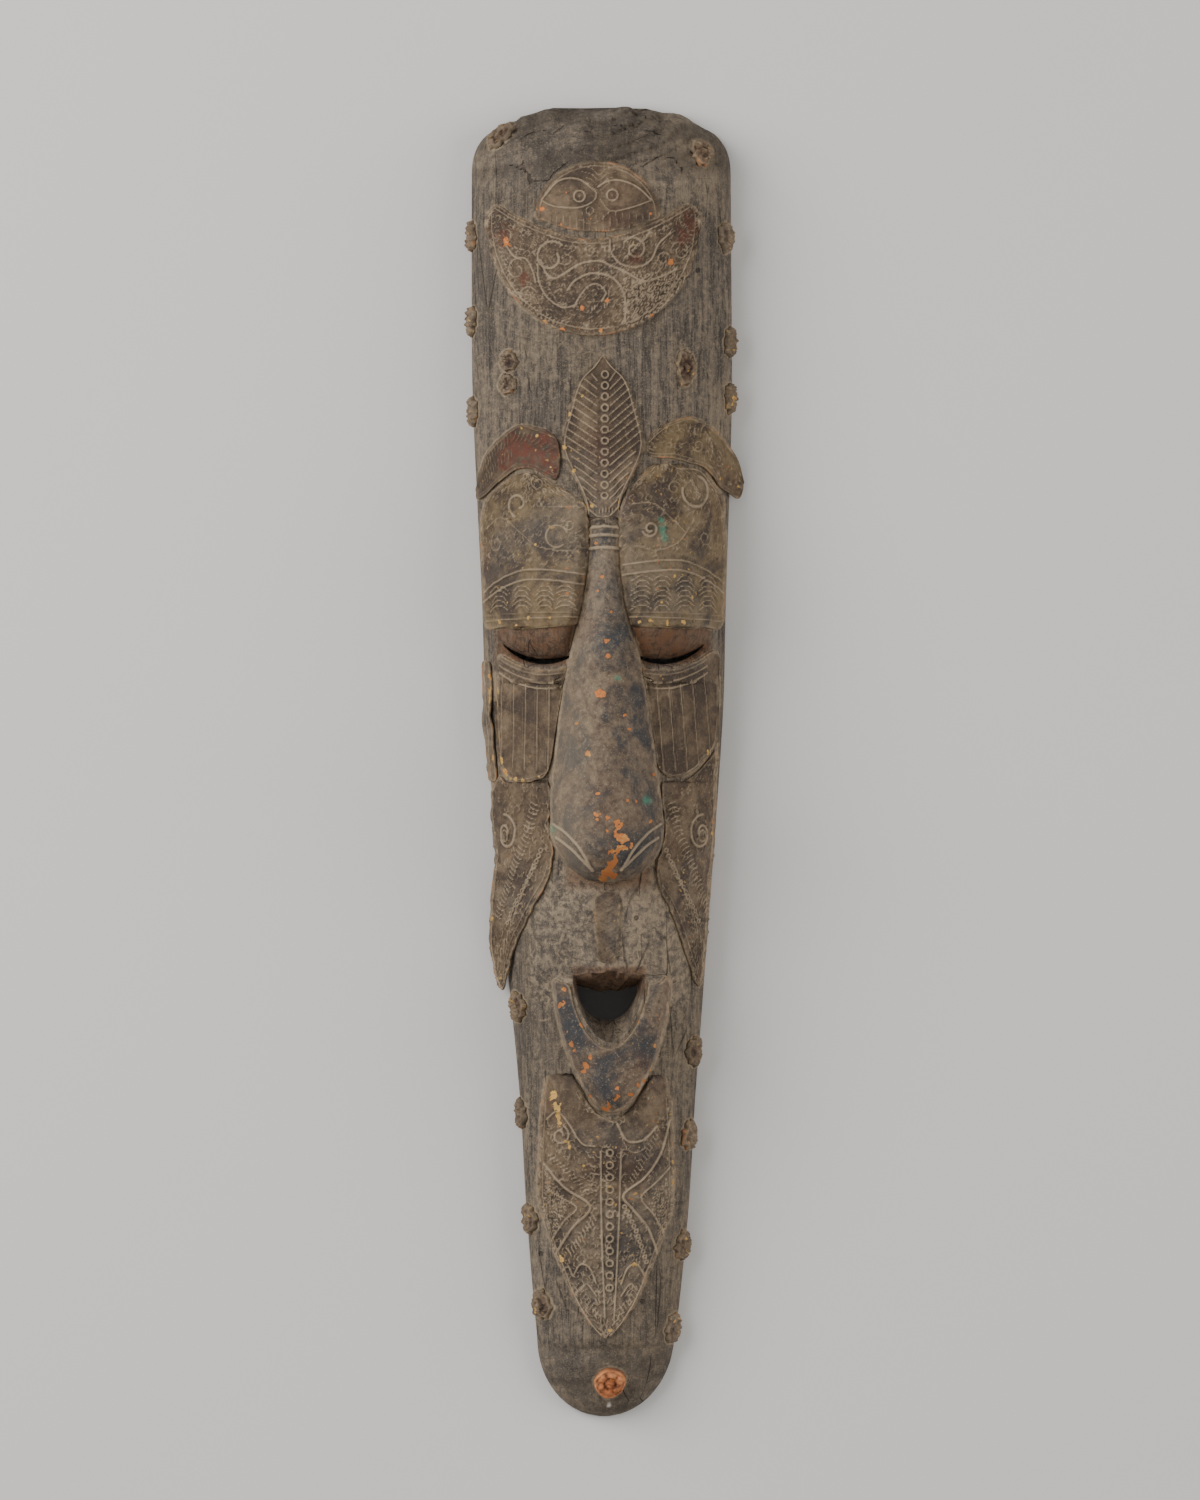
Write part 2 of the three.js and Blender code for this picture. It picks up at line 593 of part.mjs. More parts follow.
// Eyelid plates: an upper field with a scroll, and a lower field of wavy hatching.
function lidPlate(side) {
  const left = side < 0;
  const brim = left
    ? [[46.2, 69.6], [38.5, 70.9], [33, 71.7], [27, 71.8], [22, 71.4], [16.5, 70.6]]
    : [[45.8, 70], [43.8, 70.4], [40, 71.6], [34, 72.1], [27, 72.5], [21, 72.5], [16.3, 72.2]];
  const gap = (100 * PLATE_GAP) / WIDTH;
  const noseSide = span(69.6, LID_EDGE, 6).map((y) => [
    Math.max(noseHalf(up(y)), y > 68.3 ? leafHalf(up(y)) : 0) + gap,
    y,
  ]);
  const outerSide = [[45, 60], [45.8, 63], [46.3, 66]];
  const foot = [[20, LID_EDGE], [30, LID_EDGE - 0.1], [40, LID_EDGE - 0.25]];
  const outline = [...brim, ...noseSide, ...foot, ...outerSide].map(([x, y]) => [side * x, y]);
  const register = left ? 63.8 : 64.3;
  const border = smooth([[12, register], [26, register + 0.1], [38, register - 0.5], [44, register - 1.6]]
    .map(([x, y]) => [side * x, y]), 4);
  const turnFrom = left ? 0.2 : 0.8 * Math.PI;
  const details = [line(border), line(scroll(side * 30, 68.6, 6, turnFrom, -0.9 * side))];
  return withDetails(plate(at(outline)), details);
}

// Cheek plates: upright bars below the eye slits.
function cheekPlate(side) {
  const left = side < 0;
  const outer = left ? 40.4 : 43.6;
  const topEdge = span(13.5, outer - 0.5, 5).map((x) => {
    const y = percentUp(lidLow(side * across(x)) - EYE_SLIT) - 0.12;
    return [x, y];
  });
  const foot = left
    ? [[outer, 56], [39.9, 52], [39.4, 49.9], [37, 48.8], [33.5, 48.3], [27, 48.4], [21.3, 48.8]]
    : [[outer, 56], [43.4, 53], [42.3, 51], [38.5, 50.1], [33.5, 49.1], [27, 48.6], [22.3, 48.9]];
  const noseSide = span(50, 56.4, 4).map((y) => [noseHalf(up(y)) + (100 * PLATE_GAP) / WIDTH, y]);
  const bars = (left ? [26, 32, 37.5] : [27, 33.5, 39.5]).map((x) =>
    line(at([[side * (x + 0.4), 50.2], [side * (x - 0.4), 55.6]])),
  );
  const brim = line(at([17, 24, 31, 38].map((x) => [side * x, percentUp(lidLow(side * across(x))) - 1.75])));
  const outline = [...topEdge, ...foot, ...noseSide].map(([x, y]) => [side * x, y]);
  return withDetails(plate(at(outline)), [...bars, brim]);
}

// Narrow strip bent over the board's edge beside a cheek plate
function edgeStrip(side) {
  const edge = (y, share) => [(middleAt(up(y)) + side * halfAt(up(y)) * share) / across(1), y];
  const ys = span(57.6, 48.4, 4);
  const outerShare = 0.995;
  const innerShare = 0.928;
  const outline = [...ys.map((y) => edge(y, outerShare)), ...ys.map((y) => edge(y, innerShare)).reverse()];
  return plate(at(outline));
}

// Side plates: scrolled sheets from the cheeks down past the mouth, ending in points. The left one
// stands off the mask along its lower outer edge.
const SIDE_TOP = 47.9;
const SIDE_LEAVES = [43.4, 41.4]; // per cent up between which the left one comes off the wood
function sidePlate(side) {
  const left = side < 0;
  const outer = left
    ? [[42.4, SIDE_TOP], [42.6, 46], [41.5, 44], [40.6, 42.8], [41.2, 41.7], [42, 40.6], [43.2, 38.5],
       [43.1, 36], [41.4, 33.8], [37.9, 32.2]]
    : [[42.6, SIDE_TOP], [42.2, 45.5], [41.6, 43.2], [40.2, 41], [39.4, 38], [38.2, 35], [36.8, 32.6]];
  const inner = left
    ? [[36.6, 33.5], [33.6, 35.8], [30.2, 37.4], [26.1, 39], [21.6, 40.6], [19.6, 41.8]]
    : [[34.2, 33.2], [31.8, 35], [28.6, 37], [25, 38.8], [20.8, 40.4], [19.6, 41.8]];
  const gap = (100 * PLATE_GAP) / WIDTH;
  const noseSide = [43.4, 45, 46.5, SIDE_TOP].map((y) => [
    noseHalf(up(y)) + gap + side * noseMiddle(up(y)),
    y,
  ]);
  const outline = at([...outer, ...inner, ...noseSide].map(([x, y]) => [side * x, y]));
  const details = [
    line(scroll(side * 33.5, 44.9, 6.4, left ? 0.3 * Math.PI : 0.7 * Math.PI, 0.85 * side)),
    ...span(40.8, 43, 1).map((y) => {
      const x = 24 + (43 - y);
      return line(at([[side * x, y], [side * (x + 3.4), y - 0.25]]), 0.9, 0.5);
    }),
  ];
  const standing = () => {
    const off = leaving(across(-31.5));
    const [lying, free] = SIDE_LEAVES;
    const height = (x, y) => {
      const share = ease((lying - percentUp(y)) / (lying - free));
      return front(x, y) * (1 - share) + off(x, y) * share;
    };
    return skinOver(height, span(-45, -18, 7).map(across), span(SIDE_TOP + 0.6, 31.6, 10).map(up));
  };
  return withDetails(left ? standing().intersect(prism(outline)) : plate(outline), details);
}

// Nose plate with two bands across the bridge, and raised lines round the wings.
function nosePlate() {
  const ys = [...span(NOSE_TOP - 0.2, 46, 8), 43.9, 43.1, 42.4, 41.8, 41.25, 40.95];
  const edge = (side) => ys.map((y) => [noseMiddle(up(y)) + side * noseHalf(up(y)) * 0.965, y]);
  const bands = [67.4, 66.1].map((y) => line(at([[-4.6, y], [0.3, y + 0.05], [5.3, y]]), 1.6, 0.8));
  const wings = [-1, 1].map((side) =>
    line(at([[18.2, 44.8], [13.2, 44], [9, 42.8]].map(([x, y]) => [1.4 + side * x, y]))),
  );
  return withDetails(plate(at([...edge(-1), ...edge(1).reverse()])), [...bands, ...wings]);
}

// Strip down the middle of the upper lip.
const philtrum = () =>
  withDetails(
    plate(at([[-3.8, 40.2], [-2.6, 36.5], [-2.2, 34.7], [4.9, 34.7], [5.6, 36.5], [6.8, 40.2]])),
    span(37, 39.2, 2).map((y) => line(at([[-1.8, y + 0.5], [1.5, y], [5, y + 0.5]]), 0.9, 0.4)),
  );

// Lower lip plate: the whole swell, open over the mouth.
function lowerLipPlate() {
  const [half, depth] = [across(LIP_HALF) * 0.955, LIP_DEPTH * 0.962];
  const outer = mouthRing(across(LIP_MIDDLE), half, up(LIP_LINE - 0.25), depth, 1.7);
  const inner = mouthRing(across(2.2), across(14.9), up(LIP_LINE + 2), up(7.5) - up(0), 1.75);
  return plate(outer).subtract(prism(inner));
}

// Beard plate: a shield with a middle rib of bosses and crossing borders.
const BEARD_TOP = 26.4;
const beardHalf = byHeight([
  [100, 22], [26.4, 22], [24.5, 23.8], [20, 25.1], [16.4, 24.9], [14, 21.5], [11.5, 16.6], [9.4, 12.4],
  [7.4, 6.4], [6.2, 1.2],
]);
function beardPlate() {
  const ys = span(BEARD_TOP, 6.2, 11);
  const edge = (side) => ys.map((y) => [1 + side * beardHalf(up(y)), y]);
  const gap = 100 * (PLATE_GAP / WIDTH);
  const lipRoom = mouthRing(
    across(LIP_MIDDLE), across(LIP_HALF + gap), up(LIP_LINE), LIP_DEPTH + PLATE_GAP, 1.7,
  );
  const rails = [-1, 1].map((side) =>
    line(at([[1.6 + side * 4.3, 21.6], [1.6 + side * 4.5, 14], [1 + side * 2.5, 7.6]])),
  );
  const crossings = [-1, 1].flatMap((side) => [
    line(at([[1.5 + side * 22, 21.8], [1.5 + side * 16, 18.2], [1.5 + side * 7.5, 16]])),
    line(at([[1.5 + side * 7.5, 16], [1.5 + side * 14.5, 13.6], [1.5 + side * 18.2, 11]])),
  ]);
  const bosses = span(9.4, 20.2, 4).map((y) => boss(across(1.5), up(y), 1.5 * RING_RADIUS));
  const whole = plate(at([...edge(-1), ...edge(1).reverse()])).subtract(prism(lipRoom));
  return withDetails(whole, [...rails, ...crossings, ...bosses]);
}

// Rosettes: small domed discs with a raised eye, tilted to lie on the arch.
const rosetteProfile = (radius, rise) => [
  [0, 0], [radius, 0], [0.68 * radius, rise], [0.36 * radius, 0.65 * rise], [0, rise],
];
function rosette(share, percent, radius, stretch = 1) {
  const y = up(percent);
  const x = middleAt(y) + share * halfAt(y);
  return stood(rosetteProfile(radius, ROSETTE_RISE), 8, x, y, SEAT, stretch);
}
// Each place is [share of the half width from the middle, per cent up the mask].
const EDGE_ROSETTES = {
  left: [
    [-0.84, 97.4], [-0.969, 89.9], [-0.969, 83.5], [-0.972, 76.6],
    [-0.9, 31.3], [-0.96, 23.1], [-0.93, 15.1], [-0.86, 8.6],
  ],
  right: [
    [0.78, 96.1], [0.94, 89.8], [0.955, 81.8], [0.958, 77.6],
    [0.91, 27.9], [0.92, 21.5], [0.93, 13.1], [0.92, 6.8],
  ],
};

// Assembly
const wood = new THREE.MeshStandardMaterial({ color: 0x57504a, roughness: 0.85, metalness: 0 });
const brass = new THREE.MeshStandardMaterial({ color: 0x6a5b48, roughness: 0.62, metalness: 0.55 });
const copper = new THREE.MeshStandardMaterial({ color: 0x45403d, roughness: 0.6, metalness: 0.5 });
const brightCopper = new THREE.MeshStandardMaterial({ color: 0xb5622c, roughness: 0.5, metalness: 0.7 });
const redPaint = new THREE.MeshStandardMaterial({ color: 0x5d3a31, roughness: 0.75, metalness: 0.2 });

const mask = new THREE.Group();
function add(name, solid, material) {
  const made = solid.getMesh();
  const positions = new Float32Array(made.numVert * 3);
  for (let i = 0; i < made.numVert; i++)
    positions.set(made.vertProperties.subarray(i * made.numProp, i * made.numProp + 3), i * 3);
  const geometry = new THREE.BufferGeometry();
  geometry.setAttribute("position", new THREE.BufferAttribute(positions, 3));
  geometry.setIndex(new THREE.BufferAttribute(made.triVerts, 1));
  geometry.computeVertexNormals();
  const mesh = new THREE.Mesh(geometry, material);
  mesh.name = name;
  mask.add(mesh);
}

add("wooden_body", woodenBody(), wood);
add("half_moon_plate", halfMoon(), brass);
add("crescent_plate", crescent(), brass);
add("leaf_plate", leaf(), brass);
for (const [side, hand] of [[-1, "left"], [1, "right"]]) {
  add(`brow_plate_${hand}`, brow(side), side < 0 ? redPaint : brass);
  add(`eyelid_plate_${hand}`, lidPlate(side), brass);
  add(`cheek_plate_${hand}`, cheekPlate(side), brass);
  add(`side_plate_${hand}`, sidePlate(side), brass);
  EDGE_ROSETTES[hand].forEach(([share, percent], i) =>
    add(`rosette_${hand}_${i + 1}`, rosette(share, percent, ROSETTE_RADIUS), brass),
  );
}
add("edge_strip_left", edgeStrip(-1), brass);
add("nose_plate", nosePlate(), copper);
add("upper_lip_strip", philtrum(), brass);
add("lower_lip_plate", lowerLipPlate(), copper);
add("beard_plate", beardPlate(), brass);
add("forehead_rosette_left_1", rosette(-0.7, 80.3, SMALL_ROSETTE_RADIUS), brass);
add("forehead_rosette_left_2", rosette(-0.715, 78.55, SMALL_ROSETTE_RADIUS), brass);
add("forehead_rosette_right", rosette(0.63, 79.8, SMALL_ROSETTE_RADIUS, 1.75), brass);
add("chin_disc", rosette(0.09, 2.5, CHIN_DISC_RADIUS), brightCopper);

export default mask;
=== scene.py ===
"""A long carved mask with beaten metal plates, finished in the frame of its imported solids."""

import math

import bmesh
import bpy
import numpy as np
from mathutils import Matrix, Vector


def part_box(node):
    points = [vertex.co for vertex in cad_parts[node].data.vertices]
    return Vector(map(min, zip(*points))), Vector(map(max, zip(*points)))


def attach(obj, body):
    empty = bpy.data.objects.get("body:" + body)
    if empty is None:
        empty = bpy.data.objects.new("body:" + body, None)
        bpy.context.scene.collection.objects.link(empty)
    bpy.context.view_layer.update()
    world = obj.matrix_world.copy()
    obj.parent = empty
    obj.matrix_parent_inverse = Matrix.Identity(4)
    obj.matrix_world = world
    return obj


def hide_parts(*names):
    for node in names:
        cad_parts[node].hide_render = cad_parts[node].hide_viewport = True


bl_info = {
    "name": "Carved mask with metal plates",
    "version": (1, 0, 0),
    "blender": (4, 5, 0),
    "location": "3D View > Sidebar > Mask",
    "description": "Carves the board, beats the metal plates and dresses them with patina",
    "category": "Object",
}

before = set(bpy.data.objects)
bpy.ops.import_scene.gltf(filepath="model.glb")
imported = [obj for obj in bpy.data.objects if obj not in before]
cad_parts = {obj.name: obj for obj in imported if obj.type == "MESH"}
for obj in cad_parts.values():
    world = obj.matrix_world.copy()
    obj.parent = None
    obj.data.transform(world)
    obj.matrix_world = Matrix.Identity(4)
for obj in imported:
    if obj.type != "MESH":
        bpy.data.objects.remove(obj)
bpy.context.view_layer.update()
BOARD_LOW, BOARD_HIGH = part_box("wooden_body")
MM = 1000.0  # the carving is worked out in millimetres

# Places are in shares of the board: per cent of its width from the middle, of its length from the chin.
BOARD_SWAY = 1.004  # the board's box is this much wider than its forehead
LENGTH = MM * (BOARD_HIGH.y - BOARD_LOW.y)
WIDTH = MM * (BOARD_HIGH.x - BOARD_LOW.x) / BOARD_SWAY
ARCH_RISE = 36.0  # of the board over its flat back; the next four rise over the arch
NOSE_RISE = 23.0
LID_RISE = 7.0
MUZZLE_RISE = 5.0
LOWER_LIP_RISE = 9.0
WALL = 9.0  # wood between the arch and the roof of the hollow
RIM = 8.0  # width of the flat rim along the sides
END_WALL = 16.0  # wood left at the crown and at the chin
EYE_SLIT = 3.4
MOUTH_FLOOR = 14.0  # depth of the mouth behind the lips
SEAT = 0.3  # gap between the wood and a plate
RELIEF_LIMIT = 1.0  # height that counts as full relief in the finishes
TINY = 1e-6  # keeps a width from being nought
HAND = {-1: "left", 1: "right"}  # as the viewer sees them
EDGE_GAP = 30 / WIDTH  # space between the plates and the nose or the leaf
ADZE_STEP = 5.2  # height of one adze mark on the crown
CUT_LOW, CUT_HIGH = -5.0, 90.0  # reach of the cutters through the board
BACK_COLUMNS = 17  # columns of the hollow's mesh
INSET = 0.05  # the outer rows and columns of a plate lie this far inside its outline
ALMOST_EDGE = 0.999  # share of the half width up to which a plate follows the arch


def up(percent):
    """Height on the board in millimetres, 0 at its middle."""
    return LENGTH * (np.asarray(percent, float) / 100 - 0.5)


def across(percent):
    return WIDTH * np.asarray(percent, float) / 100


def percent_up(y):
    return (y / LENGTH + 0.5) * 100


def ease(t):
    t = np.clip(t, 0, 1)
    return t * t * (3 - 2 * t)


def through(stations):
    """A smooth curve through [place, value] stations."""
    places, values = np.array(sorted(stations), float).T
    ahead = np.minimum(np.arange(len(places)) + 1, len(places) - 1)
    behind = np.maximum(np.arange(len(places)) - 1, 0)
    slopes = (values[ahead] - values[behind]) / (places[ahead] - places[behind])

    def curve(place):
        p = np.clip(place, places[0], places[-1])
        i = np.clip(np.searchsorted(places, p) - 1, 0, len(places) - 2)
        gap = places[i + 1] - places[i]
        t = (p - places[i]) / gap
        return (
            (2 * t**3 - 3 * t**2 + 1) * values[i]
            + (t**3 - 2 * t**2 + t) * slopes[i] * gap
            + (3 * t**2 - 2 * t**3) * values[i + 1]
            + (t**3 - t**2) * slopes[i + 1] * gap
        )

    return curve


def by_height(stations):
    curve = through(stations)
    return lambda y: curve(percent_up(y))


# The board's outline and arch
board_half = by_height([
    [100, 49.8], [85, 50.1], [78, 50], [70, 48.6], [62, 47], [54.5, 45.9], [47, 43.4],
    [39, 40.2], [32, 37.1], [24, 33.7], [16.5, 31.5], [8.7, 28.1], [5.6, 26.3], [0, 25.4],
])
board_middle = by_height([[100, -0.9], [85, -0.7], [62, 0.2], [39, 0.8], [25, 1.6], [10, 1.3], [0, 0.1]])
arch_share = by_height([
    [100, 94], [86, 97], [75, 100], [55, 98], [40, 93], [33, 88], [25, 77], [16, 65], [8, 55], [0, 46],
])
CROWN_REACH = up(5.4) - up(0)
CROWN_SLOPE = up(7.6) - up(0)
CHIN_REACH = up(5.7) - up(0)
CHIN_SLOPE = up(5) - up(0)


def rounding(from_end, reach, power):
    """Share of the full width or height that is left near a rounded end."""
    t = 1 - np.clip(from_end / reach, 0, 1)
    return (1 - t**power) ** (1 / power)


def middle_at(y):
    return across(board_middle(y))


def half_at(y):
    """Half the board's width at a height."""
    ends = rounding(LENGTH / 2 - y, CROWN_REACH, 2.5) * rounding(LENGTH / 2 + y, CHIN_REACH, 2)
    return np.maximum(across(board_half(y)) * ends, TINY)


def rise_at(y):
    """Height of the arch along the middle line."""
    ends = rounding(LENGTH / 2 - y, CROWN_SLOPE, 2.2) * rounding(LENGTH / 2 + y, CHIN_SLOPE, 2.4)
    return ARCH_RISE * arch_share(y) / 100 * ends


# Nose, lids and lips
nose_half = by_height([
    [100, 6], [68, 6], [66, 5.9], [62, 8.3], [58.5, 12.2], [55, 15.5], [50, 19.2], [46, 21.2],
    [43.9, 20.9], [42.4, 16.5], [41.3, 9.5], [40.7, 2.5], [0, 2.5],
])
nose_crest = by_height([
    [70, 0], [68, 0.13], [62, 0.28], [58.5, 0.43], [55, 0.57], [50, 0.79], [45.7, 0.98],
    [43.6, 1], [42.2, 0.86], [41.2, 0.56], [40.6, 0],
])
nose_middle = by_height([[100, 0], [68, 0.4], [50, 0.5], [44, 1.6], [40, 2.2], [0, 1.5]])
leaf_half = by_height([
    [100, 0.3], [80.6, 0.3], [78.8, 8.5], [76, 13.3], [73.8, 15.6], [72.3, 12.9], [69.9, 7.7], [68.2, 6.1],
])
beard_half = by_height([
    [100, 22], [26.4, 22], [24.5, 23.8], [20, 25.1], [16.4, 24.9], [14, 21.5], [11.5, 16.6], [9.4, 12.4],
    [7.4, 6.4], [6.2, 1.2],
])
LID_EDGE = 60.2
LIP_LINE = 33.8
LIP_MIDDLE = 3.4
LIP_HALF = 22.9
LIP_DEPTH = up(10.5) - up(0)


def nose(x, y):
    """Height of the nose over the arch."""
    percent = percent_up(y)
    u = np.abs(x - across(nose_middle(y))) / across(nose_half(y))
    fullness = 1.9 + 0.9 * ease((52 - percent) / 8)
    body = NOSE_RISE * nose_crest(y) * np.clip(1 - np.clip(u, 0, 1) ** fullness, 0, 1) ** 0.8
    return np.where((percent < 70) & (percent > 40.7), body, 0)


def lid_low(x):
    """Where the lower edge of the lids runs."""
    away = np.abs(x) - across(22)
    return up(57.7 + np.where(away > 0, 1.5 * (away / across(19)) ** 2, 0.4 * (away / across(11)) ** 2))


def lid(x, y):
    """Swell of the lids, and the cheek that dips in under them."""
    percent = percent_up(y)
    low = lid_low(x)
    inner = ease((np.abs(x) - across(nose_half(y))) / across(6) + 0.25)
    outer = 1 - ease((np.abs(x) / half_at(y) - 0.72) / 0.27)
    t = np.clip((y - low) / (up(LID_EDGE + 0.5) - low), 0, 1)
    below = -3 + (LID_RISE + 3) * np.sqrt(1 - (1 - t) ** 2)
    above = LID_RISE * ease((74 - percent) / 11)
    cheek = 1 - 4 * ease((y - low) / EYE_SLIT + 1)
    swell = np.where(t >= 1, above, np.where(y < low, cheek, np.minimum(below, above)))
    return np.where((percent < 74) & (percent > 56), swell * inner * outer, 0)


def lip_reach(x, y):
    """0 in the middle of the lower lip's upper edge, 1 along its rounded outer edge."""
    return (np.abs(x - across(LIP_MIDDLE)) / across(LIP_HALF)) ** 1.7 + (
        np.maximum(up(LIP_LINE) - y, 0) / LIP_DEPTH
    ) ** 1.7


def lower_lip(x, y):
    top = ease((up(LIP_LINE + 0.7) - y) / (up(1.2) - up(0)))
    inside = np.clip((1 - lip_reach(x, y)) / 0.4, 0, 1)
    return LOWER_LIP_RISE * np.sqrt(1 - (1 - inside) ** 2.4) * top


def muzzle(x, y):
    """Swell of the wood between the nose and the mouth."""
    percent = percent_up(y)
    u = np.abs(x - across(1.5)) / across(32)
    low = ease((percent - (LIP_LINE - 1)) / 1.4)
    return MUZZLE_RISE * np.maximum(0, 1 - u**2.2) * low * ease((46 - percent) / 10)


def beard_swell(x, y):
    ends = ease((27 - percent_up(y)) / 3) * ease((percent_up(y) - 5.2) / 1.2)
    return 1.6 * ends * np.maximum(0, 1 - (np.abs(x) / across(27)) ** 4)


def side_share(x, y):
    """0 on the board's middle line, 1 at its edges."""
    return np.minimum(np.abs(x - middle_at(y)) / half_at(y), 1)


def arch(x, y):
    return rise_at(y) * np.sqrt(1 - side_share(x, y) ** 2)


def front(x, y):
    """Height of the carved front over the flat back."""
    fade = 1 - side_share(x, y) ** 10
    raised = np.maximum(np.maximum(nose(x, y), muzzle(x, y)), lower_lip(x, y))
    swell = np.where(raised > 0, np.maximum(raised, lid(x, y)), lid(x, y))
    return arch(x, y) + fade * (swell + beard_swell(x, y))


def leaving(start):
    """The front up to one place across, and beyond it the slope the arch has there."""
    step = 0.5

    def height(x, y):
        slope = (arch(start + step, y) - arch(start - step, y)) / (2 * step)
        tongue = arch(start, y) + slope * (x - start)
        beyond = (x - start) * np.sign(start) > 0
        return np.where(beyond, np.maximum(front(x, y), tongue), front(x, y))

    return height


def unroll(x, y):
    """Distance from the middle line, measured along the arch."""
    half, rise = half_at(y), rise_at(y)
    share = (x - middle_at(y)) / half
    held = np.clip(share, -0.94, 0.94)
    turn = np.arcsin(held)
    along = (half + rise) / 2 * turn + (half - rise) / 4 * np.sin(2 * turn)
    return along + 1.7 * half * (share - held)


def hump(t):
    """1 at t = 0, falling smoothly to 0 at t = 1."""
    return 0.5 + 0.5 * np.cos(math.pi * np.clip(t, 0, 1))


def distance_to(x, y, points):
    """Distance of places from a route of points."""
    nearest = np.full(x.shape, np.inf)
    for a, b in zip(points[:-1], points[1:]):
        along = b - a
        t = np.clip(((x - a[0]) * along[0] + (y - a[1]) * along[1]) / max(along @ along, 1e-9), 0, 1)
        nearest = np.minimum(nearest, np.hypot(x - a[0] - t * along[0], y - a[1] - t * along[1]))
    return nearest


def mirror(side):
    return lambda pairs: [[side * x, y] for x, y in pairs]


def between(at, i, j, tx, ty):
    """The value between four corners of a grid, tx and ty of the way from corner (i, j)."""
    low = at(i, j) * (1 - tx) + at(i + 1, j) * tx
    high = at(i, j + 1) * (1 - tx) + at(i + 1, j + 1) * tx
    return low * (1 - ty) + high * ty


def mottle(x, y, size_x, size_y, seed):
    """Smooth random values from 0 to 1, about one to each size_x by size_y patch."""
    lattice = np.random.default_rng(seed).random((97, 89))
    gx, gy = x / size_x + 1000, y / size_y + 1000
    ix, iy = np.floor(gx).astype(int), np.floor(gy).astype(int)
    tx, ty = ease(gx - ix), ease(gy - iy)
    return between(lambda i, j: lattice[i % 97, j % 89], ix, iy, tx, ty)


# Meshes
def linked(name, data):
    made = bpy.data.objects.new(name, data)
    bpy.context.scene.collection.objects.link(made)
    return made


def set_marks(piece, marks):
    for key, values in marks.items():
        layer = piece.data.attributes.new(key, "FLOAT", "POINT")
        layer.data.foreach_set("value", np.asarray(values, np.float32).ravel())


def make_mesh(name, points, faces, attributes=None, flat_from=None):
    """Builds a mesh object from points in millimetres and four-cornered faces."""
    mesh = bpy.data.meshes.new(name)
    mesh.vertices.add(len(points))
    mesh.vertices.foreach_set("co", (np.asarray(points, float) / MM).ravel())
    mesh.loops.add(faces.size)
    mesh.loops.foreach_set("vertex_index", faces.ravel().astype(np.int32))
    mesh.polygons.add(len(faces))
    mesh.polygons.foreach_set("loop_start", np.arange(0, faces.size, 4, dtype=np.int32))
    mesh.update(calc_edges=True)
    mesh.validate()
    smooth = np.ones(len(mesh.polygons), bool)
    if flat_from is not None:
        smooth[flat_from:] = False
    mesh.polygons.foreach_set("use_smooth", smooth)
    made = linked(name, mesh)
    set_marks(made, attributes or {})
    return made


def grid_faces(rows, columns, start=0):
    """Four-cornered faces between the points of a grid."""
    corner = start + np.arange(rows * columns).reshape(rows, columns)
    a, b = corner[:-1, :-1].ravel(), corner[:-1, 1:].ravel()
    c, d = corner[1:, 1:].ravel(), corner[1:, :-1].ravel()
    return np.stack([a, b, c, d], 1)


def border(rows, columns):
    """The points round a grid, in order."""
    corner = np.arange(rows * columns).reshape(rows, columns)
    return np.concatenate([corner[0, :-1], corner[:-1, -1], corner[-1, :0:-1], corner[:0:-1, 0]])


def finish_piece(piece, node, finish):
    """Dresses a piece in its finish and puts it in the place of its solid."""
    piece.data.materials.append(material(finish))
    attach(piece, "root")
    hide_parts(node)


def smoothed(outline):
    """Cuts the corners of a closed outline twice."""
    points = np.asarray(outline, float)
    for _ in range(2):
        after = np.roll(points, -1, axis=0)
        points = np.stack([0.75 * points + 0.25 * after, 0.25 * points + 0.75 * after], 1).reshape(-1, 2)
    return points


def places(shares):
    shares = np.asarray(shares, float)
    return np.stack([across(shares[:, 0]), up(shares[:, 1])], 1)


def extent(outline, levels, axis):
    """Lowest and highest reach of an outline across each level of the other axis."""
    low, high = np.full(len(levels), np.inf), np.full(len(levels), -np.inf)
    for a, b in zip(outline, np.roll(outline, -1, axis=0)):
        rise = b[axis] - a[axis]
        if abs(rise) < 1e-9:
            continue
        t = (levels - a[axis]) / rise
        reach = a[1 - axis] + (b[1 - axis] - a[1 - axis]) * t
        hit = (t >= 0) & (t <= 1)
        low = np.where(hit, np.minimum(low, reach), low)
        high = np.where(hit, np.maximum(high, reach), high)
    return low, high


def blurred(values, reach):
    """Values averaged over a window of 2 x reach + 1 cells each way."""
    for axis in (0, 1):
        padding = [(reach + 1, reach) if k == axis else (0, 0) for k in (0, 1)]
        sums = np.cumsum(np.pad(values, padding, mode="edge"), axis)
        size = values.shape[axis]
        window = np.arange(size)
        ahead = np.take(sums, window + 2 * reach + 1, axis)
        values = (ahead - np.take(sums, window, axis)) / (2 * reach + 1)
    return values


def frayed(low, high, along, ragged, seed):
    """Both edges of a plate, made uneven along their length and kept a little apart."""
    wear = lambda seed: 4 * ragged * (mottle(along, 0 * along, 2.3, 9, seed) - 0.5)
    low = low + wear(seed)
    return low, np.maximum(high + wear(seed + 1), low + INSET)


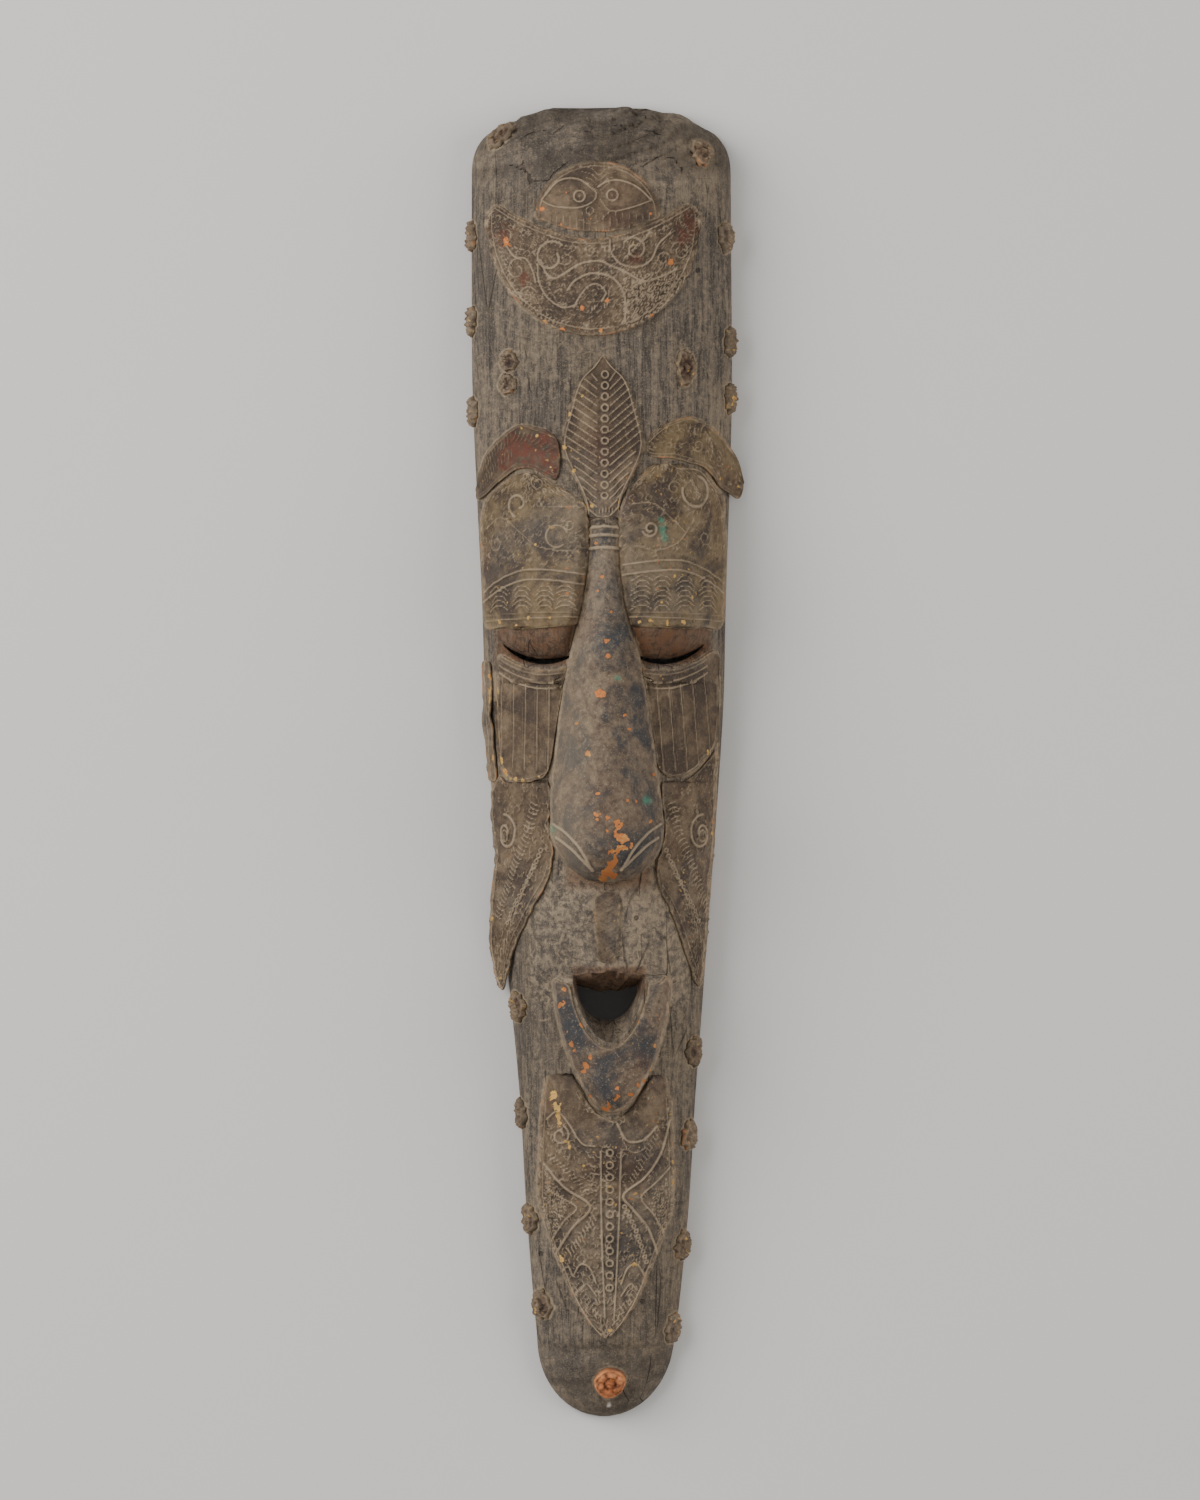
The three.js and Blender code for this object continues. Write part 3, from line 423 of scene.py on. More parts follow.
class Sheet:
    """A plate of metal: a grid of places on the mask, with the relief beaten into it.

    Routes and outlines are given in shares; widths, heights, lengths and radii in millimetres.
    """

    def __init__(self, x, y, height=None):
        self.x, self.y = x, y
        self.z = front(x, y) if height is None else height
        self.u = unroll(x, y)
        self.relief = np.zeros_like(x)
        self.marks = {key: np.zeros_like(x) for key in ("worn", "paint", "green")}

    @classmethod
    def by_rows(cls, outline, seed, ragged=0.12, height=None, dip=None):
        """Rows of cells across an outline given in shares."""
        cell = MM * bpy.context.scene.mask_sizes.cell
        ring = smoothed(places(outline))
        low, high = ring[:, 1].min(), ring[:, 1].max()
        levels = np.linspace(low + INSET, high - INSET, max(int((high - low) / cell), 8))
        left, right = frayed(*extent(ring, levels, 1), levels, ragged, seed)
        half, middle = half_at(levels), middle_at(levels)
        turn_left = np.arcsin(np.clip((left - middle) / half, -ALMOST_EDGE, ALMOST_EDGE))
        turn_right = np.arcsin(np.clip((right - middle) / half, -ALMOST_EDGE, ALMOST_EDGE))
        reach = np.abs(turn_right - turn_left).max() * 0.95 * half.max()
        t = np.linspace(0, 1, max(int(reach / cell), 8))
        turns = turn_left[:, None] * (1 - t) + turn_right[:, None] * t
        bent = middle[:, None] + half[:, None] * np.sin(turns)
        straight = left[:, None] * (1 - t) + right[:, None] * t
        beyond = np.maximum(np.abs(left - middle), np.abs(right - middle)) > half * ALMOST_EDGE
        x = np.where(beyond.any(), straight, bent)
        y = np.repeat(levels[:, None], len(t), 1)
        if dip is not None:
            y = y - dip(x, y)
        return cls(x, y, None if height is None else height(x, y))

    @classmethod
    def by_columns(cls, outline, seed, height=None):
        """Columns of cells up an outline given in shares."""
        cell = MM * bpy.context.scene.mask_sizes.cell
        ring = smoothed(places(outline))
        low, high = ring[:, 0].min(), ring[:, 0].max()
        level = np.mean(ring[:, 1])
        half, middle = float(half_at(level)), float(middle_at(level))
        low, high = low + INSET, high - INSET
        ends = (np.array([low, high]) - middle) / half
        if np.abs(ends).max() < 0.99:
            turns = np.arcsin(ends)
            columns = np.linspace(*turns, max(int((turns[1] - turns[0]) * half / cell), 8))
            columns = middle + half * np.sin(columns)
        else:
            columns = np.linspace(low, high, max(int(1.15 * (high - low + 2 * INSET) / cell), 8))
        under, over = frayed(*extent(ring, columns, 0), columns, 0.12, seed)
        t = np.linspace(0, 1, max(int((over - under).max() / cell), 8))
        y = under[None, :] * (1 - t[:, None]) + over[None, :] * t[:, None]
        x = np.repeat(columns[None, :], len(t), 0)
        return cls(x, y, None if height is None else height(x, y))

    def raise_by(self, height):
        self.relief = np.maximum(self.relief, height)

    def near(self, points, width):
        """Which places lie close enough to a route of (u, y) points to be reached by it."""
        low, high = points.min(0) - width, points.max(0) + width
        return (self.u > low[0]) & (self.u < high[0]) & (self.y > low[1]) & (self.y < high[1])

    def route(self, points, width, height):
        """A raised line along points given as (distance along the arch, y)."""
        points = np.asarray(points, float)
        area = self.near(points, width)
        if area.any():
            swell = height * hump(distance_to(self.u[area], self.y[area], points) / width)
            self.relief[area] = np.maximum(self.relief[area], swell)

    def unrolled(self, shares):
        """Places given in shares, as (distance along the arch, y)."""
        spots = places(shares)
        return np.stack([unroll(spots[:, 0], spots[:, 1]), spots[:, 1]], 1)

    def line(self, shares, width, height, bend=True):
        """A raised line through places given in shares, rounded where it bends."""
        points = self.unrolled(shares)
        if bend and len(points) > 2:
            t = np.arange(len(points))
            fine = np.linspace(0, len(points) - 1, 8 * len(points))
            points = np.stack([through(list(zip(t, points[:, k])))(fine) for k in (0, 1)], 1)
        self.route(points, width, height)

    def away_from(self, share, percent):
        (u, y), = self.unrolled([[share, percent]])
        return np.hypot(self.u - u, self.y - y)

    def ring(self, share, percent, radius, width, height):
        self.raise_by(height * hump(np.abs(self.away_from(share, percent) - radius) / width))

    def boss(self, share, percent, radius, height):
        self.raise_by(height * hump(self.away_from(share, percent) / radius))

    def scroll(self, share, percent, radius, start, turns, tail, width, height):
        """A raised curl that winds inwards from start degrees to tail of its radius."""
        (u, y), = self.unrolled([[share, percent]])
        t = np.linspace(0, 1, 40)
        angle = math.radians(start) + 2 * math.pi * turns * t
        reach = radius * (1 - (1 - tail) * t)
        self.route(np.stack([u + reach * np.cos(angle), y + reach * np.sin(angle)], 1), width, height)

    def inside(self, shares):
        """Which places lie inside an outline given in shares."""
        ring = self.unrolled(shares)
        within = np.zeros(self.x.shape, bool)
        for a, b in zip(ring, np.roll(ring, -1, axis=0)):
            crosses = (a[1] > self.y) != (b[1] > self.y)
            with np.errstate(divide="ignore", invalid="ignore"):
                cut = a[0] + (self.y - a[1]) * (b[0] - a[0]) / (b[1] - a[1])
            within ^= crosses & (self.u < cut)
        return within

    def walk(self, shares):
        """The length of a route, and a function that gives its point at a distance."""
        points = self.unrolled(shares)
        along = np.concatenate([[0], np.cumsum(np.hypot(*np.diff(points, axis=0).T))])
        return along[-1], lambda d: np.array([np.interp(d, along, points[:, k]) for k in (0, 1)])

    def stroke(self, spot, heading, length, curl, count, width, height):
        """A short raised line through a spot, bowed to one side by curl."""
        t = np.linspace(-0.5, 0.5, count)[:, None]
        way = np.array([math.cos(heading), math.sin(heading)])
        aside = np.array([-way[1], way[0]])
        self.route(spot + t * length * way + curl * length * (0.25 - t**2) * aside, width, height)

    def dashes(self, shares, spacing, length, tilt, width, height, curl=0.0):
        """Short strokes set along a route, each turned by tilt from the route."""
        whole, point = self.walk(shares)
        for d in np.arange(spacing / 2, whole, spacing):
            heading = math.atan2(*(point(d + 0.1) - point(d - 0.1))[::-1]) + math.radians(tilt)
            self.stroke(point(d), heading, length, curl, 5, width, height)

    def rings_along(self, shares, spacing, radius, height):
        whole, point = self.walk(shares)
        for d in np.arange(0, whole + 0.01, spacing):
            u, y = point(d)
            away = np.hypot(self.u - u, self.y - y)
            self.raise_by(height * hump(np.abs(away - radius) / 0.5))

    def punched(self, where, spacing, radius, height, clear, seed):
        """A ground of small punched rings wherever nothing is raised yet."""
        draw = np.random.default_rng(seed)
        free = where & (self.relief < clear)
        if not free.any():
            return
        lows = [self.u[free].min(), self.y[free].min()]
        highs = [self.u[free].max(), self.y[free].max()]
        gu, gy = (self.u - lows[0]) / spacing, (self.y - lows[1]) / spacing
        counts = [int((h - l) / spacing) + 3 for l, h in zip(lows, highs)]
        jitter = draw.random((counts[0] + 2, counts[1] + 2, 2)) * 0.55 + 0.22
        nearest = np.full(self.x.shape, np.inf)
        iu, iy = np.floor(gu).astype(int), np.floor(gy).astype(int)
        for du in (-1, 0, 1):
            for dy in (-1, 0, 1):
                i, j = np.clip(iu + du, 0, counts[0] + 1), np.clip(iy + dy, 0, counts[1] + 1)
                away = np.hypot(gu - i - jitter[i, j, 0], gy - j - jitter[i, j, 1]) * spacing
                nearest = np.minimum(nearest, away)
        wall = height * hump(np.abs(nearest - radius) / (radius * 0.8))
        self.relief = np.where(free, np.maximum(self.relief, wall), self.relief)

    def leafage(self, where, spacing, length, height, seed, clear=0.15):
        """Short curled strokes that fill the ground between the larger figures."""
        draw = np.random.default_rng(seed)
        free = where & (self.relief < clear)
        if not free.any():
            return
        us, ys = self.u[free], self.y[free]
        for _ in range(int(free.sum() * self.cell_area() / spacing**2)):
            pick = draw.integers(len(us))
            turn, curl = draw.random() * 2 * math.pi, draw.choice([-1.6, 1.6])
            self.stroke(np.array([us[pick], ys[pick]]), turn, length, curl, 6, 0.42, height)

    def cell_area(self):
        du = np.abs(np.diff(self.u, axis=1)).mean()
        dy = np.abs(np.diff(self.y, axis=0)).mean()
        return du * dy

    def stain(self, spots, ragged, key="worn"):
        """Marks spots, given as [share, percent, radius in mm], strongest at their middles."""
        rough = mottle(self.u, self.y, 1.1, 1.3, 11) + 0.6 * mottle(self.u, self.y, 0.5, 0.6, 12) - 0.8
        for share, percent, radius in spots:
            mark = np.clip(1.3 - self.away_from(share, percent) / radius + ragged * rough, 0, 1)
            self.marks[key] = np.maximum(self.marks[key], mark)

    def edge_distance(self):
        """Distance of each place from the nearest edge of the plate."""
        points = np.dstack([self.u, self.y])
        step_x = np.hypot(*np.moveaxis(np.diff(points, axis=1), 2, 0))
        step_y = np.hypot(*np.moveaxis(np.diff(points, axis=0), 2, 0))
        pad_x = np.pad(np.cumsum(step_x, 1), ((0, 0), (1, 0)))
        pad_y = np.pad(np.cumsum(step_y, 0), ((1, 0), (0, 0)))
        return np.minimum(
            np.minimum(pad_x, pad_x[:, -1:] - pad_x), np.minimum(pad_y, pad_y[-1:] - pad_y)
        )

    def made(self, name, beaten, curl, seed):
        """The closed plate: outer face with its relief, inner face and edges."""
        thickness = MM * bpy.context.scene.mask_sizes.sheet
        base = np.dstack([self.x, self.y, self.z])
        along = np.gradient(base, axis=1)
        up_rows = np.gradient(base, axis=0)
        normal = np.cross(along, up_rows)
        size = np.linalg.norm(normal, axis=2, keepdims=True)
        normal = np.where(size > 1e-9, normal / np.maximum(size, 1e-9), [0.0, 0.0, 1.0])
        edge = self.edge_distance()
        waves = beaten * (mottle(self.u, self.y, 3.1, 3.7, seed) - 0.5)
        waves += curl * np.clip(1 - edge / 2.0, 0, 1) ** 2 * mottle(self.u, self.y, 6, 7, seed + 1)
        lift = SEAT + np.maximum(waves, -0.2)
        inner = base + normal * lift[..., None]
        outer = base + normal * (lift + thickness + self.relief)[..., None]
        rows, columns = self.x.shape
        count = rows * columns
        ring = border(rows, columns)
        after = np.roll(ring, -1)
        sides = np.stack([ring + count, after + count, after, ring], 1)
        top = grid_faces(rows, columns)
        faces = np.concatenate([top, grid_faces(rows, columns, count)[:, ::-1], sides])
        points = np.concatenate([outer.reshape(-1, 3), inner.reshape(-1, 3)])
        both = lambda values: np.tile(values.ravel(), 2)
        attributes = {
            # relief lightens the raised lines (painted highlight, with dust); hollow darkens the ground
            # beside them (painted shade)
            "relief": both(np.clip(self.relief / RELIEF_LIMIT, 0, 1)),
            "hollow": both(np.clip(2.4 * (blurred(self.relief, 3) - 0.55 * self.relief), 0, 1)),
            "edge": both(np.clip(edge / 4, 0, 1)),
            **{key: both(mark) for key, mark in self.marks.items()},
        }
        return make_mesh(name, points, faces, attributes, flat_from=len(top) * 2)


# Finishes
class Value:
    """A value inside a finish, with arithmetic that adds Math nodes."""

    def __init__(self, finish, socket):
        self.finish, self.socket = finish, socket

    def _math(self, operation, a, b):
        return self.finish.node("ShaderNodeMath", {"operation": operation}, {0: a, 1: b})

    def __add__(self, other):
        return self._math("ADD", self, other)

    def __sub__(self, other):
        return self._math("SUBTRACT", self, other)

    def __rsub__(self, other):
        return self._math("SUBTRACT", other, self)

    def __mul__(self, other):
        return self._math("MULTIPLY", self, other)

    __radd__ = __add__
    __rmul__ = __mul__

    def clamped(self):
        return self.finish.node("ShaderNodeClamp", {}, {"Value": self})

    def step(self, low, high):
        """Rises smoothly from 0 at low to 1 at high."""
        settings = {"interpolation_type": "SMOOTHSTEP"}
        return self.finish.node("ShaderNodeMapRange", settings, {"Value": self, 1: low, 2: high})


class Finish:
    """A material under construction."""

    def __init__(self, name):
        self.material = bpy.data.materials.new(name)
        self.material.use_nodes = True
        self.tree = self.material.node_tree
        self.tree.nodes.clear()
        self.place = self.node("ShaderNodeTexCoord", {}, {}, "Object")

    def node(self, kind, settings, values, output=0):
        made = self.tree.nodes.new(kind)
        for key, setting in settings.items():
            setattr(made, key, setting)
        for key, value in values.items():
            if isinstance(value, Value):
                self.tree.links.new(value.socket, made.inputs[key])
            else:
                made.inputs[key].default_value = value
        return Value(self, made.outputs[output])

    def tone(self, name):
        return (*getattr(bpy.context.scene.mask_colours, name), 1.0)

    def attribute(self, name):
        return self.node("ShaderNodeAttribute", {"attribute_name": name}, {}, "Fac")

    def stretched(self, x, y, z):
        return self.node("ShaderNodeMapping", {}, {"Vector": self.place, "Scale": (x, y, z)})

    def noise(self, vector, scale, detail=4.0, rough=0.6, warp=0.0):
        values = {"Vector": vector, "Scale": scale, "Detail": detail, "Roughness": rough, "Distortion": warp}
        return self.node("ShaderNodeTexNoise", {}, values)

    def cracks(self, vector, scale):
        settings = {"feature": "DISTANCE_TO_EDGE"}
        return self.node("ShaderNodeTexVoronoi", settings, {"Vector": vector, "Scale": scale})

    def mix(self, factor, a, b):
        """Colours a and b, which are 4-number colours or values, mixed by factor."""
        settings = {"data_type": "RGBA"}
        return self.node("ShaderNodeMix", settings, {0: factor, 6: a, 7: b}, 2)

    def bump(self, height, distance, strength=1.0, after=None):
        values = {"Height": height, "Distance": distance, "Strength": strength}
        if after is not None:
            values["Normal"] = after
        return self.node("ShaderNodeBump", {}, values)

    def done(self, color, roughness, metallic, normal, shine=0.5):
        """Closes the material with the shader and its output."""
        shader = self.node("ShaderNodeBsdfPrincipled", {}, {
            "Base Color": color, "Roughness": roughness, "Metallic": metallic, "Normal": normal,
            "Specular IOR Level": shine,
        })
        output = self.tree.nodes.new("ShaderNodeOutputMaterial")
        self.tree.links.new(shader.socket, output.inputs["Surface"])
        return self.material


def weathered_wood():
    """Grey-brown wood with a fine grain, dust round the plates, cracks, painted shade along the crown's adze
    ledges, darker ends and red-brown hollows.
    """
    f = Finish("weathered wood")
    keys = ("seam", "brown", "crack_and_scarp_shade", "darker_ends", "pale", "carved", "lip_dust")
    seam, brown, crack_and_scarp_shade, darker_ends, pale, carved, lip_dust = [f.attribute(key) for key in keys]
    grain = f.noise(f.stretched(1.0, 0.055, 0.16), 1800, 6, 0.72, 0.25)
    streaks = f.noise(f.stretched(1.0, 0.07, 0.2), 520, 6, 0.7, 0.5)
    clouds = f.noise(f.place, 26, 6, 0.65, 0.4)
    fine = f.noise(f.place, 430, 6, 0.72, 0.4)
    specks = f.noise(f.place, 1700, 3, 0.75)
    stripes = grain * 0.55 + streaks * 0.3 + fine * 0.15
    even = clouds * 0.35 + fine * 0.35 + f.noise(f.place, 140, 5, 0.68) * 0.3 + 0.03
    shade = stripes + (even * 0.75 + 0.13 - stripes) * carved * 0.85
    color = f.mix(shade.step(0.415, 0.57), f.tone("wood_dark"), f.tone("wood"))
    warm = f.noise(f.stretched(1.0, 0.35, 1.0), 40, 5, 0.62).step(0.46, 0.66)
    color = f.mix(warm * 0.45, color, f.tone("wood_brown"))
    settled = (clouds * 0.35 + streaks * 0.35 + fine * 0.45).step(0.53, 0.68)
    dust = settled * 0.42 + specks.step(0.54, 0.64) * 0.45
    dust = (dust + lip_dust * fine.step(0.42, 0.6) * 0.32).clamped()
    color = f.mix(dust, color, f.tone("dust"))
    deep = brown * (clouds * 1.3 + fine * 1.5 - 0.62).clamped()
    color = f.mix(deep, color, f.tone("wood_red"))
    # Mottled darkening in the red-brown places under the lids, the nose and the lip
    color = f.mix(brown * fine.step(0.52, 0.4) * 0.5, color, f.tone("grime_and_shade"))
    ring = (seam * (fine * 1.5 + 0.05)).step(0.25, 0.85)
    color = f.mix(ring * 0.72, color, f.tone("dust"))
    scratches = 1 - f.cracks(f.stretched(0.35, 1.0, 1.0), 90).step(0.0, 0.012)
    color = f.mix(scratches * f.noise(f.place, 55, 3).step(0.52, 0.62) * 0.5, color, f.tone("dust"))
    split = 1 - f.cracks(f.stretched(1.0, 0.16, 1.0), 75).step(0.0, 0.016)
    split = split * f.noise(f.place, 36, 3).step(0.5, 0.6)
    # Cracks, nail holes and painted shade along the crown's adze ledges
    crack_and_scarp_shade = (crack_and_scarp_shade + fine * 0.5 - 0.25).step(0.92, 1.12)
    color = f.mix((split * 0.6 + crack_and_scarp_shade * 0.6 + darker_ends).clamped(), color, f.tone("grime_and_shade"))
    color = f.mix(pale, color, f.tone("chalk"))
    height = (grain * 0.6 + streaks * 0.6) * (1 - carved * 0.6) + fine * 0.5 + specks * 0.35
    height = height - split * 0.9 - crack_and_scarp_shade + scratches * 0.2
    normal = f.bump(height, 0.0008, 0.9)
    return f.done(color, 0.85 - deep * 0.35, 0.0, normal, 0.25)


def patinated(name, ground, high, worn, crust=0.4, dusty=1.0, fleck=0.6, painted_light_left=0.0, grit=0.36):
    """Beaten sheet: painted shade and dirt beside its raised lines, dust and painted highlight on those
    lines, bare metal where worn.
    """
    f = Finish(name)
    keys = ("relief", "hollow", "edge", "seam", "worn", "paint", "green")
    relief, hollow, edge, seam, stain, paint, green = [f.attribute(key) for key in keys]
    clouds = f.noise(f.place, 62, 6, 0.66, 0.6)
    broad = f.noise(f.place, 19, 5, 0.6, 0.3)
    fine = f.noise(f.place, 380, 6, 0.74, 0.4)
    specks = f.noise(f.place, 1400, 4, 0.75)
    color = f.mix(clouds.step(0.38, 0.6), f.tone(ground), f.tone(high))
    color = f.mix(broad.step(0.5, 0.66) * 0.4, color, f.tone("patina_blue"))
    reds = f.noise(f.place, 34, 4, 0.6).step(0.56, 0.7)
    color = f.mix(reds * 0.4, color, f.tone("red_dark"))
    color = f.mix((paint * (fine * 1.5 + clouds * 0.4 - 0.15)).clamped(), color, f.tone("red"))
    color = f.mix(green * 0.85, color, f.tone("green"))
    # Painted shade beside the raised lines from the hollow mark, with mottled dark dirt
    color = f.mix((hollow * 0.75 + fine.step(0.47, 0.32) * 0.4).clamped(), color, f.tone("grime_and_shade"))
    # Painted highlight with dust on the raised lines
    crest_highlight_and_dust = relief.step(0.14, 0.5) * (fine * 1.1 + 0.3).clamped()
    settled = (clouds * 0.5 + fine * 0.55 + broad * 0.3).step(0.62, 0.86)
    # Painted light: the left side of the plate, facing the lamp, turns paler
    if painted_light_left:
        aside = f.node("ShaderNodeSeparateXYZ", {}, {"Vector": f.place})
        settled = (settled + (broad * 0.3 + fine * 0.5 - aside * 38 - 0.1).step(0.25, 0.7) * painted_light_left).clamped()
    banked = (seam * (fine * 1.5 + 0.05)).step(0.25, 0.95)
    dust = (crest_highlight_and_dust * 0.85 + settled * crust + specks.step(0.56, 0.68) * grit + banked * 0.4) * dusty
    dust = (dust * (1 - paint * 0.6)).clamped()
    color = f.mix(dust, color, f.tone("dust"))
    rubbed = (1 - edge.step(0.0, 0.2)) * (fine * 0.6 + clouds * 0.5).step(0.57, 0.64) * fleck
    grains = f.noise(f.place, 560, 2, 0.5).step(0.69, 0.72) * broad.step(0.42, 0.56) * fleck
    rubbed = (rubbed + grains).clamped()
    bare = (stain + fine * 0.5 - 0.28).step(0.42, 0.5)
    glow = f.mix(clouds.step(0.5, 0.58), f.tone("gold"), f.tone("copper"))
    color = f.mix(rubbed, color, glow)
    color = f.mix(bare, color, f.mix(fine.step(0.5, 0.66), f.tone(worn), glow))
    metal = (0.22 - dust * 0.22 + bare * 0.45 + rubbed * 0.4).clamped()
    rough = (0.6 + dust * 0.3 - bare * 0.15).clamped()
    normal = f.bump(fine * 0.8 + specks * 0.45 + clouds * 0.3 - bare * 0.3, 0.0006, 0.85)
    return f.done(color, rough, metal, normal, 0.35)


# Each finish: its name, its ground, high and worn tones, then crust, dusty, fleck, painted_light_left
# (painted light on the left side) and grit.
FINISHES = {
    "brass": ("brown patina", "patina", "patina_light", "gold"),
    "copper": ("rubbed patina", "patina", "patina_light", "copper"),
    "lid": ("ochre patina", "patina", "patina_ochre", "gold", 0.36, 0.9),
    "red": ("worn paint", "patina", "patina_light", "gold", 0.15, 0.6),
    "nose": ("blackened nose", "black_copper", "copper_brown", "copper", 0.5, 1.0, 0.1, 0.45, 0.6),
    "lip": ("blackened lip", "black_copper", "copper_brown", "copper", 0.6, 1.0, 0.25, 0.0, 0.75),
    "bare": ("bare copper", "copper_deep", "copper_pale", "copper", 0.2, 0.12, 0.0),
}
MATERIALS = {}


def material(finish):
    """The material of that finish, made once."""
    if finish not in MATERIALS:
        MATERIALS[finish] = weathered_wood() if finish == "wood" else patinated(*FINISHES[finish])
    return MATERIALS[finish]


# The board
def trough(y):
    """Half the width of the hollow, and the height of its roof over the flat back."""
    low, high = -LENGTH / 2 + END_WALL, LENGTH / 2 - END_WALL
    share = rounding(np.minimum(high - y, y - low), 3 * END_WALL, 2.2)
    half = np.minimum((across(board_half(y)) - RIM) * np.maximum(share, 0.35), 0.8 * half_at(y))
    rise = (ARCH_RISE * arch_share(y) / 100 - WALL) * share
    return half, rise


def up_a_ledge(x, y):
    """How far up its own adze mark a place on the crown lies, from 0 to 1."""
    bowed = y - 0.012 * x**2 + 5 * mottle(x, y, 15, 9, 21)
    return bowed / ADZE_STEP - np.floor(bowed / ADZE_STEP)


def tool_marks(x, y):
    """Ledges left by the adze on the crown, furrows of the grain and small dents, in millimetres."""
    crown = ease((percent_up(y) - 94.2) / 1.5)
    facets = (0.55 - up_a_ledge(x, y)) * 2.6 * mottle(x, y, 12, 7, 25) * crown
    furrows = (mottle(x, y, 1.7, 50, 22) - 0.5) * 0.3 + (mottle(x, y, 5.2, 90, 23) - 0.5) * 0.4
    dents = (mottle(x, y, 3.0, 4.0, 24) - 0.5) * 0.26 + (mottle(x, y, 1.6, 2.1, 26) - 0.5) * 0.2
    return facets + furrows + dents - 0.2


def chips(x, y):
    """How far the crown's edge is broken away, in millimetres."""
    near = ease((percent_up(y) - 96.5) / 3)
    return near * (1.7 * mottle(x, 0 * x, 6.5, 9, 27) + 1.7 * mottle(x, 0 * x, 2.2, 9, 28) ** 2)


def edge_grooves(x, y):
    """A worn groove inside each edge of the lower board."""
    where = ease((31 - percent_up(y)) / 3) * ease((percent_up(y) - 5.5) / 2)
    away = half_at(y) - np.abs(x - middle_at(y))
    return -0.7 * where * np.exp(-(((away - 4.4) / 0.7) ** 2))


def chin_step(x, y):
    return -1.3 * ease((up(5.7) - y) / 2.0) * (1 - side_share(x, y) ** 4)


def mouth_ring(middle, half, top, depth, power, sag):
    """The mouth's edge: a rounded underside and a brow that sags by so much."""
    turn = np.linspace(0, math.pi, 48)
    c, s = np.cos(turn), np.sin(turn)
    reach = (np.abs(c) ** power + np.abs(s) ** power) ** (-1 / power)
    under = np.stack([middle - half * reach * c, top - depth * reach * s], 1)
    share = np.linspace(0.95, -0.95, 25)
    brow = top - sag * (1 - share**2) + 0.35 * np.sin(9 * share + 1) * (1 - share**2)
    over = np.stack([middle + half * share, brow], 1)
    return np.concatenate([under, over])


def loft(name, levels):
    """A closed solid through rings of (x, y) points at their heights, from low to high."""
    count = len(levels[0][0])
    points = np.concatenate([np.column_stack([ring, np.full(count, z)]) for ring, z in levels])
    around = np.arange(count)
    after = np.roll(around, -1)
    faces = [np.stack([k * count + around, k * count + after, (k + 1) * count + after,
                       (k + 1) * count + around], 1) for k in range(len(levels) - 1)]
    mesh = bpy.data.meshes.new(name)
    caps = [list(around[::-1]), list(around + (len(levels) - 1) * count)]
    mesh.from_pydata((points / MM).tolist(), [], np.concatenate(faces).tolist() + caps)
    return linked(name, mesh)


def slit_cutter(side):
    """A block in the shape of an eye slit, through the whole board."""
    ends = sorted([side * across(11.5), side * across(38.5)])
    x = np.linspace(ends[0], ends[1], 70)
    t = (x - ends[0]) / (ends[1] - ends[0])
    opening = 0.55 * EYE_SLIT * np.clip(np.sin(math.pi * t), 0.0004, 1) ** 0.5
    low = np.stack([x, lid_low(x) - opening], 1)
    ring = np.concatenate([low, np.stack([x, lid_low(x)], 1)[::-1]])
    return loft("slit cutter", [(ring, CUT_LOW), (ring, CUT_HIGH)])


def mouth_cutter():
    """A block that widens towards the lips and narrows to the opening in the back."""
    edge = mouth_ring(across(2.2), across(14), up(LIP_LINE), up(5.1) - up(0), 1.7, -0.9)
    opening = mouth_ring(across(1.4), 10.5, up(33.0), 12.4, 2, 2.2)
    lips = float(front(across(14.5), up(31)))
    mid = 0.45 * edge + 0.55 * opening
    levels = [(opening, CUT_LOW), (opening, lips - MOUTH_FLOOR), (mid, lips - 0.62 * MOUTH_FLOOR),
              (edge, lips - 1.5), (edge, CUT_HIGH)]
    return loft("mouth cutter", levels)


def cut(piece, cutters):
    """Takes the cutters' shapes out of a piece."""
    for cutter in cutters:
        modifier = piece.modifiers.new("cut", "BOOLEAN")
        modifier.object, modifier.operation, modifier.solver = cutter, "DIFFERENCE", "EXACT"
        modifier.use_self = False
    bpy.context.view_layer.update()
    evaluated = piece.evaluated_get(bpy.context.evaluated_depsgraph_get())
    carved = bpy.data.meshes.new_from_object(evaluated)
    piece.modifiers.clear()
    piece.data = carved
    for cutter in cutters:
        bpy.data.objects.remove(cutter)


